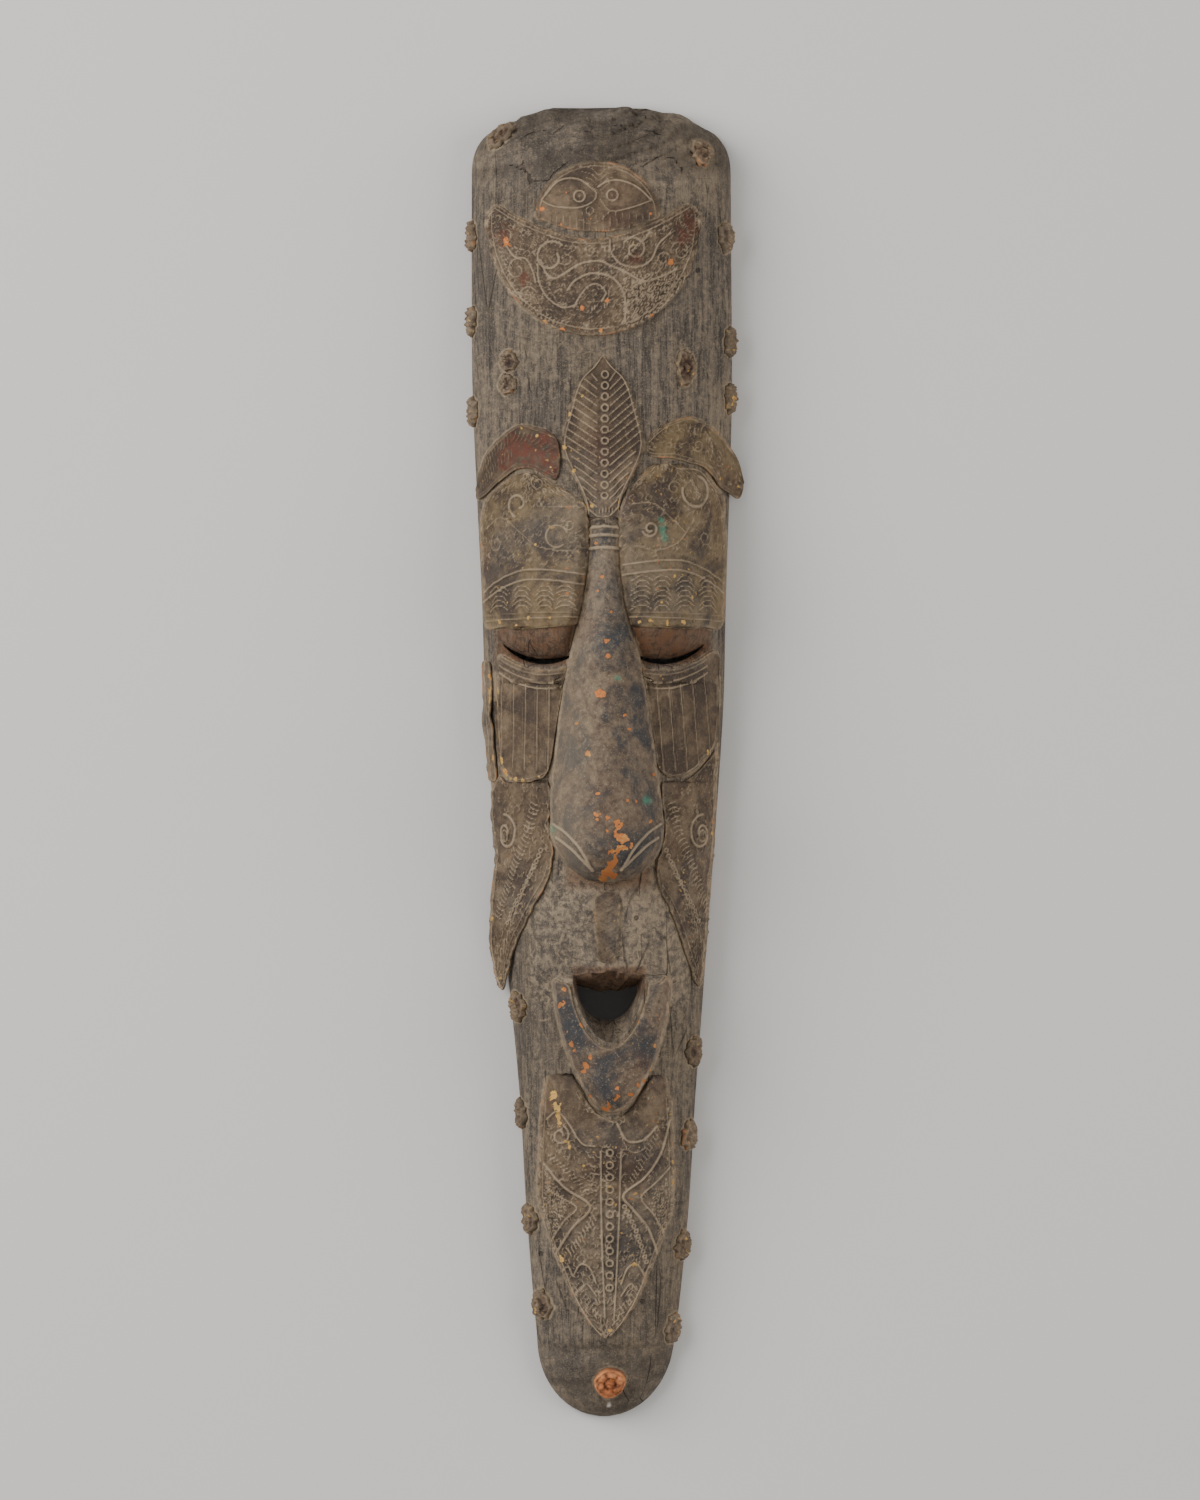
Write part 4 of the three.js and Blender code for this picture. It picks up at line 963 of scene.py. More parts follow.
def carve_board():
    """The arched front, the hollow back, both ends, the eye slits and the mouth."""
    sizes = bpy.context.scene.mask_sizes
    cell = sizes.board_cell * MM
    rows = int(LENGTH / cell)
    y = np.linspace(-LENGTH / 2 + 0.06, LENGTH / 2 - 0.06, rows)
    columns = sizes.board_columns
    turn = np.linspace(-math.pi / 2, math.pi / 2, columns)
    x = middle_at(y)[:, None] + half_at(y)[:, None] * np.sin(turn)
    yy = np.repeat(y[:, None], columns, 1)
    fade = 1 - side_share(x, yy) ** 12
    z = front(x, yy) + fade * (tool_marks(x, yy) + edge_grooves(x, yy) + chin_step(x, yy))
    z = np.maximum(z, 0) * np.where(np.abs(turn) > math.pi / 2 - 1e-6, 0, 1)
    face = np.dstack([x, yy - chips(x, yy), z])

    half, rise = trough(y)
    inner_turn = np.linspace(-math.pi / 2, math.pi / 2, BACK_COLUMNS)
    back_x = middle_at(y)[:, None] + half[:, None] * np.sin(inner_turn)
    back_z = rise[:, None] * np.cos(inner_turn)
    back_y = np.repeat(y[:, None], BACK_COLUMNS, 1)
    back = np.dstack([back_x, back_y - chips(back_x, back_y), back_z])

    count = rows * columns
    edges = np.arange(rows)
    left, right = edges * columns, edges * columns + columns - 1
    back_left = count + edges * BACK_COLUMNS
    back_right = back_left + BACK_COLUMNS - 1
    strips = []
    for outer, inner, flip in ((left, back_left, False), (right, back_right, True)):
        strip = np.stack([outer[:-1], outer[1:], inner[1:], inner[:-1]], 1)
        strips.append(strip[:, ::-1] if flip else strip)
    roof = grid_faces(rows, BACK_COLUMNS, count)[:, ::-1]
    faces = np.concatenate([grid_faces(rows, columns), roof, *strips])
    points = np.concatenate([face.reshape(-1, 3), back.reshape(-1, 3)])
    board = make_mesh("carved_board", points, faces)
    close_ends(board)
    cut(board, [slit_cutter(-1), slit_cutter(1), mouth_cutter()])
    for polygon in board.data.polygons:
        polygon.use_smooth = True
    tint_board(board)
    finish_piece(board, "wooden_body", "wood")


# Splits in the wood, and the small dark holes that nails have left
CRACKS = [
    [[-36.2, 95.1], [-28.8, 94.5], [-27.7, 93.8], [-21.6, 93.8], [-19.2, 94.5], [-14, 95.2]],
    [[-31.1, 95.9], [-30.2, 95], [-28.4, 94.2]],
    [[14.6, 95], [21.9, 95.8], [28, 95.7], [30.4, 94.6]],
    [[-30, 97.4], [-24, 97.9], [-19, 97.6], [-15, 98.2]],
    [[4, 98.3], [10, 97.7], [17, 98], [22, 97.4]],
    [[-18, 21.5], [-18.6, 18], [-18.2, 14.5]],
]
HOLES = [[36.2, 87.2], [12.6, 38.1], [5.2, 37.2], [14.9, 8.95], [-24, 12.5]]


def coordinates(piece):
    values = np.empty(3 * len(piece.data.vertices))
    piece.data.vertices.foreach_get("co", values)
    return MM * values.reshape(-1, 3)


def tint_board(board):
    """Marks the red-brown hollows, the cracks, the painted shade along the crown's adze ledges, the darker
    ends, the nail holes and the pale dot of the board.
    """
    x, y, z = coordinates(board).T
    share, percent = x / across(1), percent_up(y)
    lids = ease((60.6 - percent) / 0.5) * ease((percent - 56.9) / 0.7)
    lids *= ease((np.abs(share) - 9) / 4) * (1 - ease((np.abs(share) - 39) / 4))
    lip = ease((34.6 - percent) / 0.4) * ease((percent - 31.8) / 1.2)
    lip *= 1 - ease((np.abs(share - 2.2) - 13) / 2)
    wings = ease((42.6 - percent) / 1.0) * ease((percent - 39.8) / 1.2)
    wings *= 1 - ease((np.abs(share - 2) - 14) / 4)
    lids *= 0.6 + 0.6 * mottle(x, y, 4.5, 2.2, 66)
    # Mottled darkening at the crown and at the chin
    darker_ends = 0.45 * ease((percent - 93.5) / 2) * ease(2.2 * mottle(x, y, 14, 5, 63) - 0.5)
    darker_ends = np.maximum(darker_ends, 0.45 * ease((5.7 - percent) / 1.2) * mottle(x, y, 5, 2.2, 64))
    # Painted shade along the scarps of the crown's adze ledges, carried in the crack mark
    ledge = up_a_ledge(x, y)
    scarp = np.clip(1.2 - np.minimum(ledge, 1 - ledge) * ADZE_STEP / 1.4, 0, 1)
    scarp *= ease(3 * mottle(x, y, 8, 6, 65) - 1)
    crack_and_scarp_shade = 0.97 * ease(percent - 94) * scarp
    lip_above = ease((43 - percent) / 2) * ease((percent - 30.5) / 1.5)
    lip_above *= 1 - ease((np.abs(share - 2) - 28) / 6)
    carved = np.maximum.reduce([ease((percent - 93) / 1.5), lip_above, ease((6 - percent) / 1.2)])
    wander = 1.6 * (mottle(x, y, 2.2, 2.2, 67) - 0.5)
    for route in CRACKS:
        away = distance_to(x + wander, y + wander, places(route))
        crack_and_scarp_shade = np.maximum(crack_and_scarp_shade, np.clip(1.2 - away / 1.4, 0, 1.2))
    pale = np.zeros(len(x))
    for spot in HOLES:
        u, v = places([spot])[0]
        away = np.hypot(x - u, y - v)
        crack_and_scarp_shade = np.maximum(crack_and_scarp_shade, np.clip(1.9 - away / 1.0, 0, 1.5))
    u, v = places([[2.1, 0.95]])[0]
    pale = np.maximum(pale, np.clip(1.6 - np.hypot(x - u, y - v) / 0.6, 0, 1))
    facing = ease((z - 2) / 4)
    set_marks(board, {
        "brown": np.clip(np.maximum.reduce([lids, 0.8 * lip, 0.7 * wings]), 0, 1),
        "crack_and_scarp_shade": crack_and_scarp_shade * facing,
        "darker_ends": darker_ends,
        "pale": pale,
        "carved": carved,
        "lip_dust": lip_above,
    })


def settle_dust():
    """Marks how close every surface lies to a plate's edge, where dust has gathered."""
    cell, reach = 0.4, 6
    pieces = [o for o in bpy.context.scene.objects if o.type == "MESH" and "edge" in o.data.attributes]
    origin = -np.array([0.7 * WIDTH, 0.53 * LENGTH])
    size = (-2 * origin / cell).astype(int) + 2
    lines = np.zeros(size)
    for piece in pieces:
        edge = np.empty(len(piece.data.vertices))
        piece.data.attributes["edge"].data.foreach_get("value", edge)
        spots = coordinates(piece)[edge < (0.13 if piece.name.endswith("beaten") else 0.01), :2]
        i, j = ((spots - origin) / cell).astype(int).T
        lines[np.clip(i, 0, size[0] - 1), np.clip(j, 0, size[1] - 1)] = 1
    kernel = np.exp(-((np.arange(-reach, reach + 1) * cell / 0.75) ** 2))
    for axis in (0, 1):
        lines = np.apply_along_axis(np.convolve, axis, lines, kernel, "same")
    lines = np.clip(lines / kernel.sum() / 1.1, 0, 1)
    for piece in [*pieces, bpy.data.objects["carved_board"]]:
        gx, gy = ((coordinates(piece)[:, :2] - origin) / cell - 0.5).T
        i, j = np.clip(gx.astype(int), 0, size[0] - 2), np.clip(gy.astype(int), 0, size[1] - 2)
        tx, ty = np.clip(gx - i, 0, 1), np.clip(gy - j, 0, 1)
        set_marks(piece, {"seam": between(lambda i, j: lines[i, j], i, j, tx, ty)})


def close_ends(piece):
    """Fills the open rows at the crown and the chin."""
    shell = bmesh.new()
    shell.from_mesh(piece.data)
    bmesh.ops.holes_fill(shell, edges=[e for e in shell.edges if e.is_boundary], sides=0)
    bmesh.ops.recalc_face_normals(shell, faces=shell.faces)
    shell.to_mesh(piece.data)
    shell.free()


# Plates
def dome(middle, half, foot, rise, count=15):
    """A half ellipse over a foot line."""
    turn = np.linspace(0, math.pi, count)
    return np.stack([middle - half * np.cos(turn), foot + rise * np.sin(turn)], 1)


def half_moon_plate():
    """The half moon on the crown, with two eyes over a fringe."""
    middle, half, foot, rise = -2.3, 23.7, 91.15, 4.15
    arc = dome(middle, half, foot, rise)
    s = np.linspace(0.9, -0.9, 9)
    base = np.stack([middle + half * s, foot - 1.15 * (1 - s**2)], 1)
    sheet = Sheet.by_columns(np.concatenate([arc, base]), seed=31)
    sheet.line(dome(middle, 22.0, 91.2, 3.75, 17), 0.5, 0.4)
    sheet.line([[-23.2, 92.45], [-16.8, 93.85], [-9.3, 93.95], [-3.3, 93.1]], 0.6, 0.6)
    sheet.line([[-23.2, 92.4], [-18.4, 91.95], [-9.3, 91.85], [-3.7, 92.35], [-2.6, 93.0]], 0.55, 0.55)
    sheet.line([[-2.1, 93.4], [1.5, 93.8], [6.4, 93.88], [12.6, 93.4], [18, 92.45]], 0.6, 0.6)
    sheet.line([[18, 92.4], [10.3, 91.85], [2.7, 91.6], [-1.4, 92.5]], 0.55, 0.5)
    for share, percent in ((-9.1, 92.7), (3.3, 92.78)):
        sheet.ring(share, percent, 1.9, 0.55, 0.65)
        sheet.boss(share, percent, 0.9, 0.45)
    for k in range(4):
        sheet.line([[-9.5 + 1.2 * k, 94.95 - 0.42 * k], [-4.6, 94.75 - 0.4 * k], [-1.7, 94.3 - 0.4 * k],
                    [1.2, 94.75 - 0.4 * k], [6.0 - 1.2 * k, 94.95 - 0.42 * k]], 0.4, 0.42)
    sheet.ring(-5.2, 91.6, 1.3, 0.45, 0.5)
    sheet.line([[-8.5, 90.9], [-5.0, 90.6], [-1.0, 90.9], [2.0, 91.5]], 0.4, 0.4)
    for k, share in enumerate(np.arange(-20.5, 18, 2.5)):
        sheet.line([[share, 91.5], [share + 0.5, 90.8], [share + 0.2 * (k % 3), 90.0]], 0.38, 0.4)
    for turn in np.linspace(0.25, math.pi - 0.25, 34):
        aside, over = math.cos(turn), math.sin(turn)
        tick = [[middle - 22.2 * aside, 91.2 + 3.8 * over], [middle - 23.3 * aside, 91.2 + 4.05 * over]]
        sheet.line(tick, 0.35, 0.3, bend=False)
    sheet.stain([[-23.2, 91.8, 0.9], [-14, 93.0, 0.5], [-4.8, 91.0, 0.5], [-16, 90.6, 0.5],
                 [17.8, 91.4, 0.5]], 0.8)
    piece = sheet.made("half_moon_embossed", 0.35, 0.2, 32)
    finish_piece(piece, "half_moon_plate", "copper")


def crescent_plate():
    """The crescent under it, full of scrolls and punched rings."""
    middle, size = np.array([-3.8, 91]), np.array([40.3, 8.85])
    turn = np.linspace(-0.05, math.pi + 0.05, 25)
    outer = middle - size * np.stack([np.cos(turn), np.sin(turn)], 1)
    x = np.linspace(32, -41, 17)
    inner = np.stack([x, 89.45 + 2.75 * (np.abs(x + 4.5) / 36) ** 1.8], 1)
    sheet = Sheet.by_columns(np.concatenate([outer, inner]), seed=33)
    sheet.line(middle + (outer - middle) * [0.95, 0.945], 0.5, 0.45)
    sheet.line(inner + [0, -0.35], 0.5, 0.45)
    sheet.scroll(-19.9, 88.1, 5.9, 45, 0.95, 0.45, 0.65, 0.7)
    sheet.line([[-23.6, 87.9], [-21.5, 86.9], [-18.4, 86.5], [-13.7, 87.0], [-8.5, 87.6], [-1.7, 87.8],
                [2.7, 87.45], [7.9, 87.0], [14.9, 86.3], [21, 86.6], [27.5, 87.2]], 0.65, 0.7)
    sheet.line([[2.4, 89.4], [2.7, 88.5], [6.4, 87.6], [12.6, 87.35], [17.8, 87.9], [20.7, 89.1],
                [25.3, 90.0]], 0.6, 0.65)
    sheet.scroll(11.8, 88.7, 4.4, 150, -1.2, 0.3, 0.6, 0.65)
    sheet.rings_along([[8.7, 88.1], [17.6, 90.0]], 1.5, 0.42, 0.5)
    sheet.line([[-13.5, 85.6], [-10.8, 86.3], [-4.8, 86.85], [2.0, 86.65], [6.5, 85.85], [8.4, 84.5],
                [7.9, 83.2]], 0.65, 0.7)
    sheet.line([[-11, 84.3], [-9.3, 85.0], [-5.6, 85.9], [-1.7, 86.0], [0.8, 85.4], [-0.6, 84.8]], 0.6, 0.6)
    sheet.line([[-24.6, 87.6], [-24.3, 86.4], [-21.3, 85.1], [-15.3, 84.3], [-10, 84.5]], 0.6, 0.6)
    sheet.line([[-37, 89.2], [-33.5, 88.2], [-29, 88.0], [-26.5, 87.0], [-25.6, 86.2]], 0.6, 0.6)
    for scroll in (
        (-32.6, 87.2, 4.0, 60, 1.0, 0.35, 0.5, 0.5),
        (-28.6, 85.2, 3.6, 20, 1.0, 0.35, 0.5, 0.5),
        (-36.6, 89.9, 2.4, 300, 1.0, 0.3, 0.5, 0.5),
        (29, 88.6, 3.6, 160, -1.1, 0.4, 0.5, 0.5),
        (22.5, 88.0, 2.6, 20, 1.1, 0.3, 0.45, 0.5),
        (-14.4, 88.0, 2.6, 200, 1.1, 0.3, 0.45, 0.45),
        (-5.5, 88.5, 2.0, 90, -1.1, 0.3, 0.4, 0.45),
    ):
        sheet.scroll(*scroll)
    sheet.line([[-6, 84.7], [0, 84.8], [5, 84.9]], 0.4, 0.4)
    sheet.dashes([[-5, 84.2], [0, 84.4], [4.5, 84.6]], 1.1, 1.7, 85, 0.36, 0.5)
    sheet.dashes([[-40.3, 90.6], [-37, 87.3], [-31, 85.2], [-24, 83.7],
                  [-13, 82.9]], 1.5, 2.0, 82, 0.4, 0.5, 0.5)
    sheet.dashes([[33.5, 90.3], [29.5, 87], [21.5, 84.3], [8, 82.9]], 1.5, 2.0, 98, 0.4, 0.5, 0.5)
    sheet.dashes(inner + [0, -0.85], 1.7, 1.5, 80, 0.38, 0.45, 0.5)
    everywhere = np.ones(sheet.x.shape, bool)
    sheet.punched(everywhere & (sheet.x > across(7)) & (sheet.y < up(87)), 1.45, 0.45, 0.5, 0.08, 35)
    sheet.leafage(everywhere, 2.5, 1.9, 0.45, 34, 0.1)
    sheet.punched(everywhere, 1.35, 0.38, 0.32, 0.05, 37)
    sheet.stain([[-27.7, 83.7, 1.1], [-15.3, 82.5, 1.5], [-8.3, 84.2, 0.8], [-9.3, 82.7, 0.9],
                 [1.4, 84.8, 0.9], [25.3, 87.8, 1.0], [32.9, 87.1, 0.7], [-36.4, 89.3, 1.6],
                 [-33.5, 84.9, 0.7], [-22, 83.2, 0.8], [18, 83.6, 0.8], [-4, 87.2, 0.5],
                 [-1.6, 82.6, 1.0]], 1.6)
    sheet.stain([[-37.5, 89.7, 3.4], [32.9, 90.8, 4.4], [30.5, 89.6, 3.0], [-30, 86.5, 2.4],
                 [12, 87.9, 1.8]], 1.5, "paint")
    piece = sheet.made("crescent_embossed", 0.4, 0.3, 36)
    finish_piece(piece, "crescent_plate", "copper")


def leaf_plate():
    """The long leaf that stands on the nose."""
    y = np.linspace(80.6, 68.3, 16)
    half = leaf_half(up(y))
    outline = np.concatenate([
        np.stack([-half - 0.2, y], 1), np.stack([half - 0.2, y], 1)[::-1],
    ])
    sheet = Sheet.by_rows(outline, seed=41)
    for side in (-1, 1):
        sheet.line(np.stack([side * half * 0.92 - 0.2, y], 1), 0.5, 0.5)
        for row in np.arange(68.5, 80.0, 0.64):
            reach = float(leaf_half(up(row + 0.8))) * 0.9
            if reach > 4:
                slope = 0.11 if side < 0 else 0.14
                sheet.line([[side * 2.4, row], [side * reach, row + slope * reach]], 0.48, 0.6, bend=False)
    sheet.rings_along([[0.6, 79.2], [0.4, 69.6]], 3.84, 1.15, 0.75)
    sheet.dashes([[-1.8, 68.8], [3.6, 68.9]], 1.0, 1.6, 80, 0.36, 0.45)
    sheet.stain([[-15, 73.7, 1.0], [-13, 76.2, 0.8], [-11, 71.9, 0.9], [-4, 69.3, 1.0], [6, 69.6, 0.8],
                 [-8, 77.6, 0.7]], 0.8)
    piece = sheet.made("leaf_embossed", 0.18, 0.2, 42)
    finish_piece(piece, "leaf_plate", "brass")


def brow_plate(side):
    """A brow; the left one is painted, the right one's tip stands off the wood."""
    if side < 0:
        upper = [[16.2, 74.5], [24, 75.2], [31.4, 75.6], [38, 74.7], [44.5, 73.3], [47.6, 71.8]]
        lower = [[48.3, 69.9], [46.4, 69.9], [43.5, 70.4], [38.5, 71.3], [33, 72.1], [27, 72.1],
                 [22, 71.6], [16.8, 71.0]]
        band = [[19, 72.8], [27, 73.8], [34, 73.9], [40, 73], [46, 71.3]]
    else:
        upper = [[16.6, 74.3], [22, 75.3], [28, 75.9], [34, 76.1], [41.3, 75.3], [47, 74.1], [50, 73.4],
                 [53, 71.6]]
        lower = [[52.6, 69.9], [49, 70.1], [46, 70.5], [44, 70.8], [40, 72], [34, 72.5], [27, 72.9],
                 [21, 72.9], [16.8, 73]]
        band = [[19, 73.7], [27, 74.5], [34, 74.5], [42, 73.2], [49, 71.6]]
    mirrored = mirror(side)
    outline = mirrored(upper + lower)
    height = leaving(float(across(43.5))) if side > 0 else None
    sheet = Sheet.by_columns(outline, seed=51 + side, height=height)
    sheet.line(mirrored([[x, y - 0.3] for x, y in upper[:-1]]), 0.45, 0.4)
    sheet.line(mirrored([[x, y + 0.3] for x, y in lower[1:]]), 0.45, 0.4)
    everywhere = np.ones(sheet.x.shape, bool)
    if side < 0:
        sheet.dashes(mirrored([[x, y + 0.7] for x, y in band]), 1.7, 3.4, 66, 0.4, 0.5, 0.3)
        sheet.dashes(mirrored([[x, y - 0.5] for x, y in band[2:]]), 1.7, 3.0, 66, 0.4, 0.5, 0.3)
        sheet.ring(-18.0, 71.9, 1.2, 0.45, 0.6)
        sheet.leafage(everywhere, 3.0, 1.6, 0.3, 55)
        sheet.stain([[-20, 72.4, 4.4], [-24, 73.2, 5.0], [-29, 73.6, 5.6], [-34, 73.6, 5.0],
                     [-37.5, 72.8, 3.0], [-17.5, 71.9, 3.4], [-29, 71.9, 3.4],
                     [-22, 74.3, 3.0]], 1.7, "paint")
        sheet.stain([[-20, 72.2, 0.6], [-31, 75.2, 0.7], [-25, 74.6, 0.7], [-38, 73.2, 0.5]], 1.0)
    else:
        sheet.dashes(mirrored([[x, y + 0.7] for x, y in band]), 1.6, 2.6, 110, 0.38, 0.42, 0.6)
        sheet.line([[38, 75], [41, 73.8], [40, 72.8]], 0.5, 0.5)
        sheet.scroll(43.5, 72.8, 2.6, 40, -1.2, 0.3, 0.5, 0.5)
        sheet.scroll(35.5, 73.9, 2.4, 200, 1.2, 0.3, 0.5, 0.5)
        sheet.leafage(everywhere, 2.2, 1.8, 0.4, 53)
        sheet.stain([[48.5, 72.2, 0.8], [51, 70.9, 0.7], [44, 71.4, 0.6], [40, 74.9, 0.7],
                     [24, 75.2, 0.6]], 1.1)
    piece = sheet.made(f"brow_{HAND[side]}_embossed", 0.55, 0.4, 54)
    slot, finish = ("red_sheet", "red") if side < 0 else ("brass_sheet", "lid")
    finish_piece(piece, f"brow_plate_{HAND[side]}", finish)


def eyelid_plate(side):
    """A lid: scrolls above a double line, four plaits below it."""
    left = side < 0
    if left:
        brim = [[46.2, 69.6], [38.5, 70.9], [33, 71.7], [27, 71.8], [22, 71.4], [16.5, 70.6]]
    else:
        brim = [[45.8, 70], [43.8, 70.4], [40, 71.6], [34, 72.1], [27, 72.5], [21, 72.5], [16.3, 72.2]]
    rows = np.linspace(69.6, LID_EDGE, 10)
    beside_leaf = np.where(rows > 68.3, leaf_half(up(rows)), 0)
    inner = np.stack([np.maximum(nose_half(up(rows)), beside_leaf) + EDGE_GAP, rows], 1)
    foot = [[20, LID_EDGE], [30, LID_EDGE - 0.1], [40, LID_EDGE - 0.25]]
    outer = [[45, 60], [45.8, 63], [46.3, 66]]
    outline = np.concatenate([brim, inner, foot, outer]) * [side, 1]
    sheet = Sheet.by_rows(outline, seed=61 + side)
    mirrored = mirror(side)
    register = 64.2 if left else 64.9
    border_line = [[8.5, register - 0.1], [20, register + 0.2], [30, register + 0.2],
                   [38, register - 0.4], [45, register - 1.4]]
    sheet.line(mirrored(border_line), 0.6, 0.6)
    sheet.line(mirrored([[x, y - 0.75] for x, y in border_line]), 0.6, 0.6)
    sheet.line(mirrored([[11, 60.9], [26, 60.8], [44, 60.6]]), 0.5, 0.5)
    sheet.line(mirrored([[11, 61.25], [26, 61.2], [44, 61.0]]), 0.4, 0.35)
    if left:
        for scroll in (
            (-32.0, 69.4, 4.6, 250, -0.9, 0.3, 0.75, 0.65),
            (-17.6, 66.9, 4.0, 20, 0.8, 0.9, 0.7, 0.5),
            (-24.5, 71.0, 3.0, 100, 1.1, 0.3, 0.5, 0.5),
            (-12.8, 67.8, 2.0, 200, 1.1, 0.3, 0.45, 0.5),
        ):
            sheet.scroll(*scroll)
        sheet.rings_along([[-22, 70.4], [-12.5, 70.1]], 2.4, 0.6, 0.45)
        sheet.line([[-21, 69.2], [-10.5, 69.2]], 0.45, 0.45)
        sheet.line([[-44, 67.6], [-38, 68.4], [-31, 67.2], [-25, 66.2], [-18, 65.9],
                    [-10, 65.8]], 0.5, 0.45)
        sheet.scroll(-40, 66.5, 3.6, 120, 1.2, 0.25, 0.5, 0.45)
    else:
        sheet.scroll(34.8, 70.4, 5.7, 170, 0.75, 0.9, 0.75, 0.8)
        sheet.rings_along([[33, 71.2], [36.5, 69.9]], 1.5, 0.5, 0.5)
        sheet.scroll(17.6, 67.5, 2.9, 200, 1.3, 0.3, 0.65, 0.7)
        sheet.scroll(26.5, 70.6, 2.6, 20, 1.2, 0.3, 0.5, 0.45)
        sheet.stain([[22.2, 67.5, 2.0], [22.8, 66.9, 1.9], [21.6, 68.2, 1.2]], 0.9, "green")
        sheet.line([[11, 69.4], [19, 69.4], [25, 68.4], [31, 67.2]], 0.5, 0.5)
        sheet.line([[27.5, 72.1], [36, 71.9], [43, 70.0], [44.5, 68.0]], 0.5, 0.45)
        sheet.scroll(38, 66.9, 3.4, 60, -1.2, 0.25, 0.5, 0.45)
        sheet.line([[12, 66.2], [20, 65.9], [28, 66.5], [34, 68.2]], 0.5, 0.45)
    upper_field = sheet.y > up(register + 0.4)
    sheet.leafage(upper_field, 2.5, 2.0, 0.42, 62 + side, 0.12)
    sheet.leafage(upper_field, 2.9, 1.2, 0.32, 66 + side, 0.1)
    for share, lean in ((14.5, 0.5), (22, 0.0), (30.5, -0.3), (39, -0.6)):
        for row in np.arange(61.6, register - 1.0, 0.37):
            wide = 3.1 + 0.5 * math.sin(5 * row + share)
            left_half = [[share - wide, row - 0.22], [share - 1.4, row + 0.1]]
            right_half = [[share + 1.2, row + 0.12], [share + wide, row - 0.22 + 0.2 * lean]]
            sheet.line(mirrored(left_half + right_half), 0.4, 0.6)
    if side > 0:
        sheet.stain([[18, 60.6, 0.9], [24, 60.45, 1.0], [30, 60.5, 0.8], [14, 60.5, 0.7], [34, 60.6, 0.7],
                     [27, 63.9, 0.7], [33.5, 62.4, 0.6], [22, 62.0, 0.5]], 1.2)
    else:
        sheet.stain([[-33, 60.3, 1.1], [-39, 60.6, 0.9], [-28, 60.8, 0.6], [-20, 60.8, 0.6],
                     [-36, 62.0, 0.4], [-25.4, 66.3, 0.5]], 1.2)
    piece = sheet.made(f"eyelid_{HAND[side]}_embossed", 0.65, 0.3, 63)
    finish_piece(piece, f"eyelid_plate_{HAND[side]}", "lid")


def cheek_plate(side):
    """A cheek with lines that hang from the eye slit."""
    left = side < 0
    outer = 40.4 if left else 43.6
    xs = np.linspace(13.5, outer - 0.5, 7)
    top = np.stack([xs, percent_up(lid_low(side * across(xs)) - EYE_SLIT) - 0.12], 1)
    if left:
        foot = [[outer, 56], [39.9, 52], [39.4, 49.9], [37, 48.8], [33.5, 48.3], [27, 48.4], [21.3, 48.8]]
    else:
        foot = [[outer, 56], [43.4, 53], [42.3, 51], [38.5, 50.1], [33.5, 49.1], [27, 48.6], [22.3, 48.9]]
    rows = np.linspace(50, 56.4, 6)
    inner = np.stack([nose_half(up(rows)) + EDGE_GAP, rows], 1)
    outline = np.concatenate([top, foot, inner]) * [side, 1]
    sheet = Sheet.by_columns(outline, seed=71 + side)
    mirrored = mirror(side)
    under_slit = lambda x: float(percent_up(lid_low(side * across(x)) - EYE_SLIT))
    for drop, strength in ((0.45, 0.4), (0.95, 0.5), (1.5, 0.6)):
        arcs = [[x, under_slit(x) - drop] for x in (15, 21, 27, 33, 39)]
        sheet.line(mirrored(arcs), 0.6, strength)
    for k in range(7):
        x = (20.3 if left else 20) + 4.4 * k
        if x > outer - 2:
            break
        lean = 0.4 if left else 2.6
        head, end = under_slit(x) - 1.35, 49.2 + 0.03 * k * k
        sheet.line(mirrored([[x, head], [x + lean, end]]), 0.5, 0.48, bend=False)
        sheet.line(mirrored([[x + 1, head - 0.3], [x + 1 + lean, end + 0.4]]), 0.4, 0.3, bend=False)
    edge = [[x - 0.9, y + 0.25] for x, y in foot[1:4]] + [[x, y + 0.3] for x, y in foot[4:]]
    sheet.line(mirrored(edge), 0.5, 0.4)
    worn = ((39.3, 50.6, 1.0), (38.4, 49.9, 1.0), (36.5, 48.9, 1.1), (33, 48.6, 0.9), (30, 48.5, 0.9),
            (24, 48.8, 0.6))
    sheet.stain([[side * x, y, radius] for x, y, radius in worn], 1.2)
    if left:
        sheet.stain([[-40.1, 55.3, 1.1], [-40, 54.4, 0.9], [-39.8, 53.2, 0.8], [-39.6, 51.8, 0.9],
                     [-38.6, 50.2, 1.2], [-37.2, 49.2, 1.3], [-35, 48.6, 1.0]], 1.3)
    piece = sheet.made(f"cheek_{HAND[side]}_embossed", 0.4, 0.4, 72)
    finish_piece(piece, f"cheek_plate_{HAND[side]}", "brass")


def edge_strip():
    """The narrow strip bent over the left edge."""
    y = np.linspace(57.6, 48.4, 8)
    edge = lambda share: np.stack([(middle_at(up(y)) - half_at(up(y)) * share) / across(1), y], 1)
    outline = np.concatenate([edge(0.995), edge(0.928)[::-1]])
    sheet = Sheet.by_rows(outline, seed=75)
    sheet.line(edge(0.97), 0.6, 0.35)
    sheet.stain([[-43, 56.4, 1.7], [-42.7, 55.4, 1.5], [-42.4, 54.6, 1.3], [-42.1, 53.0, 0.9],
                 [-41.8, 50.2, 1.0]], 1.2)
    piece = sheet.made("edge_strip_bent", 0.6, 1.1, 76)
    finish_piece(piece, "edge_strip_left", "brass")


